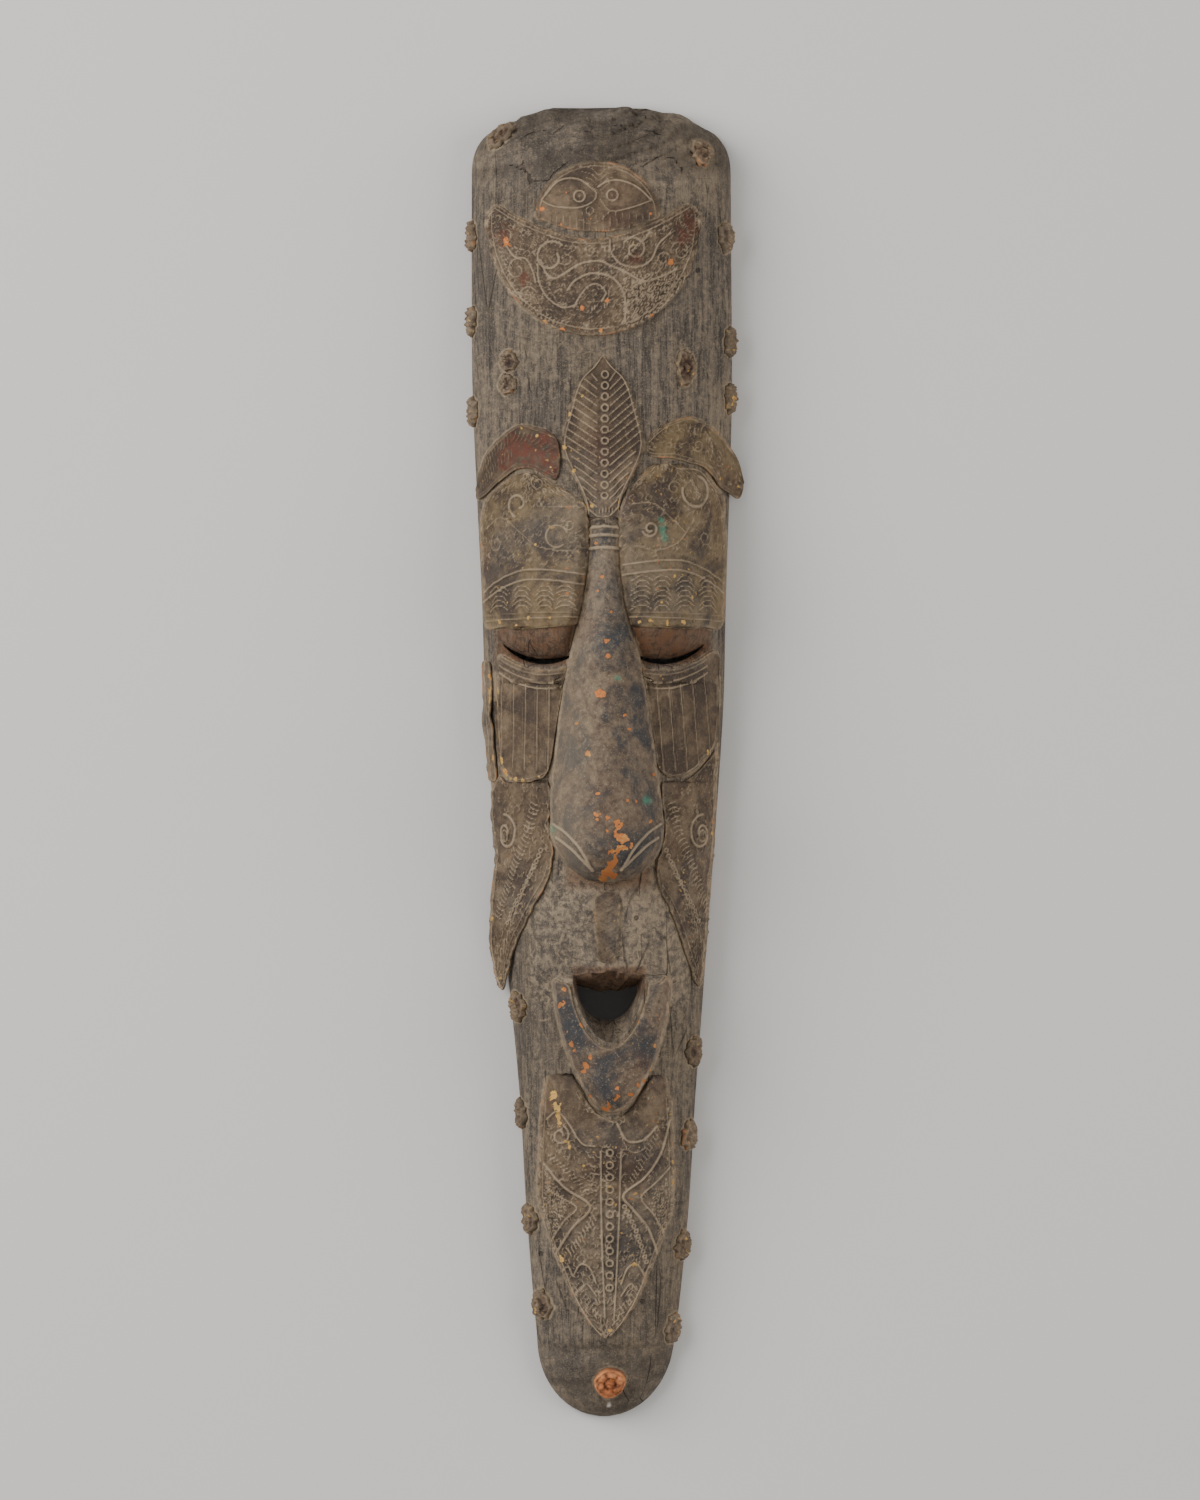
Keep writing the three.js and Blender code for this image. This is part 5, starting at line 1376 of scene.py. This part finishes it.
def side_plate(side):
    """A side of the face; the left one's lower edge stands off the wood."""
    left = side < 0
    if left:
        outer = [[42.4, 47.9], [42.6, 46], [41.5, 44], [40.6, 42.8], [41.2, 41.7], [42, 40.6],
                 [43.2, 38.5], [43.1, 36], [41.4, 33.8], [37.9, 32.2]]
        inner = [[36.6, 33.5], [33.6, 35.8], [30.2, 37.4], [26.1, 39], [21.6, 40.6], [19.6, 41.8]]
        under_cheek = [[21.3, 48.45], [27, 48.05], [33.5, 47.95], [37, 48.4], [39.2, 49.0]]
        leave = leaving(float(-across(31.5)))

        def height(x, y):
            share = ease((43.4 - percent_up(y)) / 2)
            return front(x, y) * (1 - share) + leave(x, y) * share
    else:
        under_cheek = [[22.3, 48.5], [27, 48.2], [33.5, 48.7], [38.3, 49.7], [41.4, 50.5], [42.6, 51.6]]
        outer = [[43.2, 51.4], [42.9, 49.5], [42.6, 47.9], [42.2, 45.5], [41.6, 43.2], [40.2, 41],
                 [39.4, 38], [38.2, 35], [36.8, 32.6]]
        inner = [[34.2, 33.2], [31.8, 35], [28.6, 37], [25, 38.8], [20.8, 40.4], [19.6, 41.8]]
    rows = np.array([43.4, 45, 46.5, 47.9])
    beside = np.stack([nose_half(up(rows)) + EDGE_GAP + side * nose_middle(up(rows)), rows], 1)
    outline = np.concatenate([outer, inner, beside, under_cheek]) * [side, 1]
    sheet = Sheet.by_rows(outline, seed=81 + side, height=height if left else None)
    mirrored = mirror(side)
    sheet.line(mirrored([[x - 1.0, y] for x, y in outer]), 0.5, 0.4)
    sheet.line(mirrored([[x + 1.4, y + 0.25] for x, y in inner]), 0.45, 0.35)
    sheet.scroll(side * 36.6, 44.5, 6.6, 95 if left else 85, side * 1.35, 0.2, 0.75, 0.8)
    sheet.ring(side * 37.0, 44.3, 2.0, 0.5, 0.6)
    ladder = [[25, 46.9], [27, 45.6], [28.5, 44.3], [31.5, 42.9], [34, 41.6], [36, 40.4], [38, 39.3],
              [39.6, 38.1]]
    sheet.dashes(mirrored(ladder), 1.7, 3.6, 90, 0.42, 0.6, 0.4 * side)
    beads = [[23.4, 43.2], [25.6, 42.0], [28.5, 40.9], [31, 39.9], [33.5, 38.9], [36, 37.6]]
    sheet.rings_along(mirrored(beads), 2.1, 0.7, 0.6)
    for k in range(12):
        t = k / 11
        x, y = 22 + 15.5 * t, 41.9 - 7.2 * t
        rib = [[x + 1.2, y + 0.9 * (1 - t)], [x + 4 - 2 * t, y + 0.4], [x + 5.6 - 3.5 * t, y - 0.5]]
        sheet.line(mirrored(rib), 0.4, 0.5)
    sheet.leafage(np.ones(sheet.x.shape, bool), 2.5, 1.9, 0.42, 82 + side, 0.1)
    worn = ((41, 44.5, 0.7), (42, 38, 0.8), (30, 41.5, 0.6), (38.6, 33.5, 0.8))
    sheet.stain([[side * x, y, radius] for x, y, radius in worn], 1.1)
    piece = sheet.made(f"side_{HAND[side]}_embossed", 0.55, 0.4, 83)
    finish_piece(piece, f"side_plate_{HAND[side]}", "brass")


def nose_plate():
    """The sheath of the nose, down to its tip."""
    y = np.array([*np.linspace(67.8, 46, 14), 45, 43.9, 43.1, 42.4, 41.8, 41.25, 40.95])
    edge = lambda side: np.stack([nose_middle(up(y)) + side * nose_half(up(y)) * 0.985, y], 1)
    outline = np.concatenate([edge(-1), edge(1)[::-1]])
    sheet = Sheet.by_rows(outline, ragged=0.05, seed=91)
    for row, strength in ((67.6, 0.8), (66.95, 0.7), (66.0, 0.8)):
        sheet.line([[-5.4, row], [0.3, row + 0.1], [6, row]], 0.9, strength)
    for side in (-1, 1):
        for k in (0, 1):
            wing = [[19.5 - k, 45.2 - k], [14.5 - k, 44.5 - 0.95 * k], [9.5 - 0.7 * k, 43.4 - 0.75 * k],
                    [5.2 - 0.3 * k, 41.9]]
            sheet.line([[1.4 + side * x, row] for x, row in wing], 0.75, 0.75)
    sheet.stain([[-0.6, 63.9, 0.6], [-1.6, 62.8, 0.5], [1.0, 58.9, 1.2], [1.3, 57.9, 0.9],
                 [-1.4, 55.0, 1.5], [7.2, 53.4, 0.6], [9.1, 52.4, 0.7], [-5.3, 50.5, 0.8],
                 [-4.4, 48.8, 0.6], [-2.3, 47.5, 0.7], [-2.2, 45.8, 1.3], [1.0, 44.7, 0.6],
                 [6.6, 44.1, 3.0], [5.6, 45.0, 1.9], [3.8, 43.3, 1.7], [3.4, 42.4, 1.6], [0.2, 41.3, 1.5],
                 [3.3, 41.4, 1.7], [1.5, 41.7, 1.5], [4.6, 42.6, 1.2], [1.8, 45.7, 1.0],
                 [17.2, 45.4, 0.6], [18.4, 49.0, 0.6], [-9.5, 52.8, 0.5], [3.4, 49.6, 0.6],
                 [8.6, 47.0, 0.6], [-12.6, 46.2, 0.5], [2.9, 61.2, 0.5], [-2.4, 66.4, 0.6],
                 [11.8, 46.9, 0.6]], 1.6)
    sheet.stain([[15.7, 47.0, 1.6], [-18.7, 44.8, 1.3], [5, 56.2, 1.0]], 1.0, "green")
    piece = sheet.made("nose_sheathed", 0.35, 0.1, 92)
    finish_piece(piece, "nose_plate", "nose")


def upper_lip_strip():
    """The short strip between the nose and the mouth."""
    outline = [[-3.8, 40.2], [-2.6, 36.5], [-2.2, 34.7], [4.9, 34.7], [5.6, 36.5], [6.8, 40.2]]
    sheet = Sheet.by_rows(outline, seed=95)
    for side in (-1, 1):
        for row in np.arange(35.0, 39.9, 0.4):
            sheet.line([[1.4 + side * 0.3, row], [1.4 + side * 3.2, row + 0.45]], 0.36, 0.3, bend=False)
    piece = sheet.made("lip_strip_embossed", 0.1, 0.05, 96)
    finish_piece(piece, "upper_lip_strip", "brass")


def lower_lip_plate():
    """The sheath of the lower lip, bent round the mouth."""
    turn = np.linspace(0, math.pi, 300)
    c, s = np.cos(turn), np.sin(turn)

    def rim(middle, half, top, depth, power):
        reach = (np.abs(c) ** power + np.abs(s) ** power) ** (-1 / power)
        return middle + half * reach * c, top - depth * reach * s

    top = up(LIP_LINE - 0.25)
    outer_x, outer_y = rim(across(LIP_MIDDLE), across(LIP_HALF) * 0.955, top, LIP_DEPTH * 0.962, 1.7)
    inner_x, inner_y = rim(across(2.2), across(14.9), top, up(5.35) - up(0), 1.75)
    t = np.linspace(0, 1, 64)[:, None]
    x, y = inner_x * (1 - t) + outer_x * t, inner_y * (1 - t) + outer_y * t
    arms = np.exp(-((np.minimum(turn, math.pi - turn) / 0.09) ** 2))
    y = y - arms * (2.2 * mottle(x, 0 * x, 2.4, 9, 99) + 1.2 * mottle(x, 0 * x, 0.9, 9, 100) - 0.6)
    sheet = Sheet(x, y)
    sheet.stain([[-10.3, 28.0, 0.9], [-6.8, 27.0, 1.2], [-6.8, 26.5, 1.0], [-11.4, 26.5, 0.7],
                 [-10.2, 26.1, 0.6], [-13.7, 29.4, 0.8], [-8.3, 30.0, 0.7], [5.6, 24.7, 0.8],
                 [5.2, 25.2, 0.7], [2.5, 23.9, 1.2], [-1.0, 23.9, 0.9], [1.4, 28.6, 0.7],
                 [12.8, 30.3, 0.7], [19.9, 30.5, 0.7], [17.4, 26.6, 0.7], [19.5, 26.3, 0.6],
                 [14.9, 25.9, 0.7], [12.8, 25.5, 0.6], [-14.5, 32.7, 0.8]], 1.6)
    sheet.stain([[-15.6, 31.6, 1.1], [-11.8, 28.6, 0.9], [-8.9, 25.2, 1.2], [-4.6, 24.6, 1.0],
                 [4.2, 24.4, 1.0], [0.4, 23.6, 1.4], [9.8, 24.8, 0.8], [19, 28.4, 0.8],
                 [-5.4, 27.6, 0.8]], 1.6)
    piece = sheet.made("lower_lip_sheathed", 0.45, 0.1, 98)
    finish_piece(piece, "lower_lip_plate", "lip")


def beard_plate():
    """The beard, pointed at the chin."""
    y = np.linspace(26.4, 6.2, 22)
    half = beard_half(up(y))
    outline = np.concatenate([np.stack([1 - half, y], 1), np.stack([1 + half, y], 1)[::-1]])

    def dip(x, y):
        """The plate's top edge follows the underside of the lower lip."""
        away = np.clip(np.abs(x / across(1) - LIP_MIDDLE) / LIP_HALF, 0, 1)
        lip = up(LIP_LINE) - LIP_DEPTH * (1 - away**1.7) ** (1 / 1.7)
        share = ease((percent_up(y) - 15) / 11.4)
        return np.maximum(up(26.9) - lip, 0) * share

    sheet = Sheet.by_rows(outline, seed=101, dip=dip)
    rim = 0.93 * half
    for side in (-1, 1):
        sheet.line(np.stack([1 + side * rim, y], 1)[2:], 0.5, 0.45)
    sheet.line([[-1.0, 20.4], [-0.6, 14], [0.6, 7.7]], 0.55, 0.65)
    sheet.line([[6.6, 20.4], [5.6, 14], [4.0, 7.7]], 0.55, 0.65)
    sheet.rings_along([[2.4, 20.3], [2.3, 9.1]], 4.3, 1.15, 0.8)
    sheet.line([[-21.9, 19.4], [-14.1, 17.6], [-4.8, 16.2], [-11.8, 14.5], [-17.4, 12.6]], 0.65, 0.85)
    sheet.line([[-21.5, 17.6], [-16, 16.9], [-10, 16.1], [-14.5, 15.1], [-19, 13.6]], 0.55, 0.65)
    sheet.line([[24.6, 22.7], [21.5, 20.3], [15.3, 18.4], [7.5, 17.1], [11, 16.0], [16.4, 14.6],
                [19.9, 12.6], [20.3, 11.3]], 0.65, 0.85)
    sheet.line([[24.8, 19.2], [19.5, 18.0], [14.1, 16.9], [18.5, 15.6], [22.6, 14.2]], 0.55, 0.65)
    sheet.dashes([[19.9, 21.8], [15.6, 20.0], [9.9, 18.0]], 1.5, 2.2, 70, 0.4, 0.6)
    sheet.rings_along([[7.9, 16.2], [12.5, 14.2], [16.4, 11.7]], 1.9, 0.62, 0.7)
    sheet.dashes([[-20, 20.2], [-12.5, 18.7], [-5, 17.2]], 1.5, 2.0, 65, 0.4, 0.6)
    sheet.dashes([[-2.9, 15.5], [-8, 14.0], [-13, 12.4]], 1.5, 2.4, 60, 0.4, 0.65)
    sheet.line([[5.2, 22.5], [8, 21.4], [11, 21.1], [15.3, 21.3], [19.9, 22.3]], 0.65, 0.75)
    sheet.line([[6.4, 21.7], [9, 20.6], [12, 20.3], [15.5, 20.6]], 0.45, 0.5)
    sheet.scroll(-16, 21.6, 3.6, 70, -1.2, 0.3, 0.6, 0.65)
    sheet.line([[-21, 22.8], [-17, 23.4], [-12.5, 22.4], [-8, 21.0], [-3.2, 20.8]], 0.6, 0.6)
    sheet.dashes([[-20, 21.6], [-14, 20.3], [-6, 19.3]], 1.9, 1.4, 110, 0.38, 0.5)
    for side in (-1, 1):
        beside = lambda pairs: [[2.0 + side * x, row] for x, row in pairs]
        sheet.line(beside(((4.6, 10.3), (7, 11.5), (10.5, 11.8), (13.2, 10.9))), 0.55, 0.7)
        sheet.line(beside(((13.2, 10.9), (15, 11.6), (17, 11.3))), 0.5, 0.6)
        sheet.line(beside(((4.6, 9.4), (8, 10.3), (10.5, 9.8))), 0.5, 0.55)
        sheet.dashes(beside(((4, 7.9), (8.5, 9.2), (12, 10.3))), 1.5, 2.0, 70 * side, 0.4, 0.55, 0.3)
        corner = sheet.inside(beside(((14.5, 16.4), (23.6, 19.2), (25, 16.3), (21, 13.4))))
        sheet.punched(corner, 1.45, 0.45, 0.5, 0.06, 103)
    plain = sheet.inside([[-23, 26.5], [-12, 26.5], [-9, 23.6], [1, 22.4], [11, 22.8], [24, 26.5],
                          [24, 23.6], [8, 20.6], [-3, 21.2], [-20, 23.4]])
    sheet.leafage(~plain, 2.5, 1.9, 0.45, 104, 0.08)
    sheet.leafage(~plain, 2.8, 1.1, 0.35, 106, 0.08)
    sheet.stain([[-18.4, 24.6, 1.7], [-17.8, 23.7, 1.7], [-17.0, 23.0, 1.5], [-16.4, 22.3, 1.2],
                 [-12.8, 20.9, 1.7], [-7.5, 19.3, 0.6], [0.2, 19.5, 0.6], [26, 19.6, 0.9],
                 [26.2, 18.8, 0.9], [26.1, 18.0, 0.8], [-15.3, 12.2, 1.0], [11.4, 17.2, 0.9],
                 [2.0, 17.7, 0.7], [2.3, 6.8, 0.9], [11.6, 11.8, 0.7]], 1.3)
    sheet.stain([[-4.4, 7.1, 0.7]], 0.8, "green")
    piece = sheet.made("beard_embossed", 0.45, 0.25, 105)
    finish_piece(piece, "beard_plate", "brass")


# Rosettes
def rosette(node, seed, petals, finish="brass"):
    """A small disc beaten over the wood, with petals round an eye, worn differently each time."""
    low, high = (MM * np.array(corner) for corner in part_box(node))
    x, y = ((low + high) / 2)[:2]
    centre = np.arcsin(np.clip((x - middle_at(y)) / half_at(y), -0.99, 0.99))
    speed = math.hypot(half_at(y) * math.cos(centre), rise_at(y) * math.sin(centre))
    tall = (high[1] - low[1]) / 2
    wide = min(np.linalg.norm([high[0] - low[0], high[2] - low[2]]) / 2, tall)
    draw = np.random.default_rng(seed)
    rings, around = 20, 70
    t = np.linspace(0.02, 1, rings)[:, None]
    turn = np.linspace(0, 2 * math.pi, around, endpoint=False)[None, :]
    phase, second = draw.random(2) * 6
    ragged = 1 - 0.08 * (1 + np.cos(petals * turn + phase)) * t**6 - 0.07 * np.cos(3 * turn + second) * t**2
    ragged = ragged - 0.05 * np.cos(13 * turn + second) * t**8
    if finish == "bare":
        ragged = 1.2 - 0.02 * np.cos(5 * turn + second)
        y += 1.2
    petal = 0.5 + 0.5 * np.cos(petals * turn + phase)
    collar = 0.8 * np.exp(-(((t - 0.88) / 0.07) ** 2))
    bulge = 0.7 * (1 - t**4) + 0.8 * petal * np.exp(-(((t - 0.6) / 0.16) ** 2))
    eye = 0.8 * np.exp(-((t / 0.16) ** 2)) - 0.45 * np.exp(-(((t - 0.33) / 0.08) ** 2))
    u, v = wide * t * ragged * np.cos(turn), tall * t * ragged * np.sin(turn)
    rough = 0.7 * (mottle(u, v, 1.4, 1.4, seed) - 0.5) + 0.8 * (mottle(u, v, 0.6, 0.6, seed + 1) - 0.5)
    height = 0.55 + bulge + eye + collar + rough
    place_y = np.clip(y + v, -LENGTH / 2 + 0.2, LENGTH / 2 - 0.2)
    angle = np.clip(centre + u / speed, -1.55, 1.55)
    foot = np.dstack([
        middle_at(place_y) + half_at(place_y) * np.sin(angle), place_y, rise_at(place_y) * np.cos(angle),
    ])
    outward = np.dstack([rise_at(place_y) * np.sin(angle), 0 * place_y, half_at(place_y) * np.cos(angle)])
    slope = (arch(x, y + 0.8) - arch(x, y - 0.8)) / 1.6
    outward[..., 1] = -slope * outward[..., 2]
    outward /= np.linalg.norm(outward, axis=2, keepdims=True)
    shell = height * (1 - t**14)
    top, bottom = foot + (0.5 + shell)[..., None] * outward, foot + 0.1 * outward
    points = np.concatenate([top.reshape(-1, 3), bottom.reshape(-1, 3)])
    corner = np.arange(rings * around).reshape(rings, around)
    a, b = corner[:-1], corner[1:]
    faces = np.stack([a, b, np.roll(b, -1, 1), np.roll(a, -1, 1)], -1).reshape(-1, 4)
    count = rings * around
    last, first = corner[-1], corner[0]
    rim = np.stack([last, last + count, np.roll(last + count, -1), np.roll(last, -1)], 1)
    middle = np.stack([first, np.roll(first, -1), np.roll(first + count, -1), first + count], 1)
    faces = np.concatenate([faces, faces[:, ::-1] + count, rim, middle])
    flecks = np.clip(4 * (mottle(u, v, 1.1, 1.3, seed + 2) - 0.74), 0, 1) * (t < 0.7)
    attributes = {
        # Painted highlight with dust on the rosette's high parts; painted shade in its low parts
        "relief": np.tile(np.clip((height - 1.5) * 0.4, 0, 1).ravel(), 2),
        "hollow": np.tile(np.clip(1.55 - height, 0, 0.8).ravel(), 2),
        "worn": np.tile(flecks.ravel(), 2),
        "paint": np.tile((0.2 * (t + 0 * turn < 0.8)).ravel(), 2),
        "edge": np.tile((1 - t + 0 * turn).ravel(), 2),
    }
    piece = make_mesh(node + "_beaten", points, faces, attributes)
    finish_piece(piece, node, finish)


def all_rosettes():
    names = sorted(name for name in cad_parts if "rosette" in name)
    for i, name in enumerate(names):
        rosette(name, 200 + i, 7 + i % 3)
    rosette("chin_disc", 240, 6, "bare")


# Stage
CAMERA_MIDDLE = (-1.2, 3.7)  # where the photograph's centre falls on the mask, mm
VIEW_HEIGHT = 525.0  # what the photograph shows from top to bottom, mm
LENS = 300.0
SENSOR = 36.0
LAMPS = {  # place and size in metres, power in watts
    "key": ((-1.2, 0.5, 1.1), (1.3, 1.3), 32),
    "fill": ((2.1, 0.1, 1.5), (1.6, 1.8), 32),
}
ROOM_LIGHT = 0.47


def stage():
    """The floor, the camera and the light."""
    bpy.ops.mesh.primitive_plane_add(size=6, location=(0, 0, 0))
    floor = bpy.context.object
    floor.name = "floor"
    f = Finish("pale floor")
    shade = f.noise(f.place, 1.2, 2)
    color = f.mix(shade * 0.05, f.tone("floor"), (0.6, 0.6, 0.6, 1))
    grit = f.bump(f.noise(f.place, 900, 2), 0.0001, 0.1)
    floor.data.materials.append(f.done(color, 0.9, 0.0, grit))

    data = bpy.data.cameras.new("camera")
    data.lens, data.sensor_width = LENS, SENSOR
    camera = linked("camera", data)
    distance = VIEW_HEIGHT / SENSOR * LENS / MM
    camera.location = (CAMERA_MIDDLE[0] / MM, CAMERA_MIDDLE[1] / MM, distance + 0.01)
    bpy.context.scene.camera = camera

    for name, (place, size, power) in LAMPS.items():
        light = bpy.data.lights.new(name, "AREA")
        light.shape, light.size, light.size_y, light.energy = "RECTANGLE", size[0], size[1], power
        lamp = linked(name, light)
        lamp.location = place
        tilt = math.acos(place[2] / np.linalg.norm(place))
        lamp.rotation_euler = (tilt, 0, math.atan2(place[1], place[0]) + math.pi / 2)

    world = bpy.data.worlds.new("soft studio")
    world.use_nodes = True
    background = world.node_tree.nodes["Background"]
    background.inputs["Color"].default_value = (1.0, 0.985, 0.965, 1)
    background.inputs["Strength"].default_value = ROOM_LIGHT
    bpy.context.scene.world = world


# Settings, operators and panel
def length(name, description, default):
    return bpy.props.FloatProperty(
        name=name, description=description, default=default, min=0.0001, unit="LENGTH", subtype="DISTANCE"
    )


def tone(name, description, default):
    return bpy.props.FloatVectorProperty(
        name=name, description=description, default=default, subtype="COLOR", size=3, min=0, max=1
    )


class MaskSizes(bpy.types.PropertyGroup):
    sheet: length("Sheet", "Thickness of the metal plates", 0.0005)
    cell: length("Plate cell", "Spacing of the plates' mesh", 0.00047)
    board_cell: length("Board cell", "Spacing of the board's rows", 0.00082)
    board_columns: bpy.props.IntProperty(
        name="Board columns", description="Columns of the board's mesh", default=140, min=40
    )


class MaskColours(bpy.types.PropertyGroup):
    wood: tone("Wood", "Weathered grey-brown wood", (0.128, 0.103, 0.081))
    wood_dark: tone("Dark wood", "Wood in the grain's hollows", (0.048, 0.041, 0.035))
    wood_brown: tone("Brown wood", "Warmer patches of wood", (0.105, 0.080, 0.055))
    wood_red: tone("Red-brown wood", "Wood in the hollows under lids and lip", (0.128, 0.058, 0.025))
    # Pale dust; also the painted highlight on raised lines and the painted light on the nose's left side
    dust: tone("Dust", "Pale dust in hollows and on raised lines", (0.325, 0.248, 0.163))
    # Dark dirt in cracks, and painted shade beside raised lines and along the crown's adze ledges
    grime_and_shade: tone("Grime", "Dark dirt", (0.022, 0.017, 0.013))
    chalk: tone("Chalk", "Pale dot and rims of the nail holes", (0.62, 0.58, 0.50))
    patina: tone("Patina", "Brown patina of the plates", (0.060, 0.039, 0.025))
    patina_light: tone("Light patina", "Lighter brown patina", (0.132, 0.087, 0.049))
    patina_ochre: tone("Ochre patina", "Yellowish patina of the lids", (0.165, 0.110, 0.050))
    patina_blue: tone("Blue patina", "Bluish dark patina", (0.070, 0.068, 0.068))
    black_copper: tone("Blackened copper", "Dark copper of nose and lip", (0.040, 0.040, 0.042))
    copper_brown: tone("Brown copper", "Brown copper of nose and lip", (0.105, 0.070, 0.046))
    copper: tone("Copper", "Bare orange copper", (0.49, 0.175, 0.055))
    copper_pale: tone("Pale copper", "Brightest copper of the chin disc", (0.70, 0.27, 0.10))
    copper_deep: tone("Deep copper", "Copper in the hollows of the chin disc", (0.42, 0.13, 0.042))
    gold: tone("Gold", "Bare yellow metal at the edges", (0.52, 0.32, 0.10))
    green: tone("Green", "Green corrosion", (0.05, 0.20, 0.13))
    red: tone("Red", "Worn red paint", (0.118, 0.032, 0.017))
    red_dark: tone("Dark red", "Darker red paint", (0.100, 0.042, 0.026))
    floor: tone("Floor", "Pale floor", (0.65, 0.635, 0.61))


class MASK_OT_stage(bpy.types.Operator):
    """Sets the floor, the light and the camera"""

    bl_idname = "mask.stage"
    bl_label = "Stage"

    def execute(self, context):
        stage()
        return {"FINISHED"}


class MASK_OT_board(bpy.types.Operator):
    """Carves the hollow wooden board"""

    bl_idname = "mask.board"
    bl_label = "Board"

    def execute(self, context):
        carve_board()
        return {"FINISHED"}


class MASK_OT_forehead(bpy.types.Operator):
    """Beats the half moon, the crescent and the leaf"""

    bl_idname = "mask.forehead"
    bl_label = "Forehead plates"

    def execute(self, context):
        half_moon_plate()
        crescent_plate()
        leaf_plate()
        return {"FINISHED"}


class MASK_OT_brows(bpy.types.Operator):
    """Beats the two brow plates"""

    bl_idname = "mask.brows"
    bl_label = "Brow plates"

    def execute(self, context):
        brow_plate(-1)
        brow_plate(1)
        return {"FINISHED"}


class MASK_OT_eyelids(bpy.types.Operator):
    """Beats the two eyelid plates"""

    bl_idname = "mask.eyelids"
    bl_label = "Eyelid plates"

    def execute(self, context):
        eyelid_plate(-1)
        eyelid_plate(1)
        return {"FINISHED"}


class MASK_OT_cheeks(bpy.types.Operator):
    """Beats the cheek plates and bends the edge strip"""

    bl_idname = "mask.cheeks"
    bl_label = "Cheek plates"

    def execute(self, context):
        cheek_plate(-1)
        cheek_plate(1)
        edge_strip()
        return {"FINISHED"}


class MASK_OT_sides(bpy.types.Operator):
    """Beats the two side plates"""

    bl_idname = "mask.sides"
    bl_label = "Side plates"

    def execute(self, context):
        side_plate(-1)
        side_plate(1)
        return {"FINISHED"}


class MASK_OT_nose(bpy.types.Operator):
    """Sheathes the nose"""

    bl_idname = "mask.nose"
    bl_label = "Nose plate"

    def execute(self, context):
        nose_plate()
        return {"FINISHED"}


class MASK_OT_lips(bpy.types.Operator):
    """Beats the lip strip and sheathes the lower lip"""

    bl_idname = "mask.lips"
    bl_label = "Lip plates"

    def execute(self, context):
        upper_lip_strip()
        lower_lip_plate()
        return {"FINISHED"}


class MASK_OT_beard(bpy.types.Operator):
    """Beats the beard plate"""

    bl_idname = "mask.beard"
    bl_label = "Beard plate"

    def execute(self, context):
        beard_plate()
        return {"FINISHED"}


class MASK_OT_rosettes(bpy.types.Operator):
    """Beats the rosettes and the chin disc"""

    bl_idname = "mask.rosettes"
    bl_label = "Rosettes"

    def execute(self, context):
        all_rosettes()
        return {"FINISHED"}


class MASK_OT_dust(bpy.types.Operator):
    """Settles dust along the edges of the plates"""

    bl_idname = "mask.dust"
    bl_label = "Dust"

    def execute(self, context):
        settle_dust()
        return {"FINISHED"}


class MASK_PT_panel(bpy.types.Panel):
    bl_idname = "MASK_PT_panel"
    bl_label = "Carved mask"
    bl_space_type = "VIEW_3D"
    bl_region_type = "UI"
    bl_category = "Mask"

    def draw(self, context):
        for group in (context.scene.mask_sizes, context.scene.mask_colours):
            for key in group.__annotations__:
                self.layout.prop(group, key)
        for made in OPERATORS:
            self.layout.operator(made.bl_idname)


OPERATORS = [
    MASK_OT_stage, MASK_OT_board, MASK_OT_forehead, MASK_OT_brows, MASK_OT_eyelids, MASK_OT_cheeks,
    MASK_OT_sides, MASK_OT_nose, MASK_OT_lips, MASK_OT_beard, MASK_OT_rosettes, MASK_OT_dust,
]
CLASSES = [MaskSizes, MaskColours, *OPERATORS, MASK_PT_panel]


def register():
    for made in CLASSES:
        bpy.utils.register_class(made)
    bpy.types.Scene.mask_sizes = bpy.props.PointerProperty(type=MaskSizes)
    bpy.types.Scene.mask_colours = bpy.props.PointerProperty(type=MaskColours)


def unregister():
    del bpy.types.Scene.mask_sizes
    del bpy.types.Scene.mask_colours
    for made in reversed(CLASSES):
        bpy.utils.unregister_class(made)


def main():
    register()
    bpy.ops.mask.stage()
    bpy.ops.mask.board()
    bpy.ops.mask.forehead()
    bpy.ops.mask.brows()
    bpy.ops.mask.eyelids()
    bpy.ops.mask.cheeks()
    bpy.ops.mask.sides()
    bpy.ops.mask.nose()
    bpy.ops.mask.lips()
    bpy.ops.mask.beard()
    bpy.ops.mask.rosettes()
    bpy.ops.mask.dust()
    bpy.context.view_layer.update()


if __name__ == "__main__":
    main()
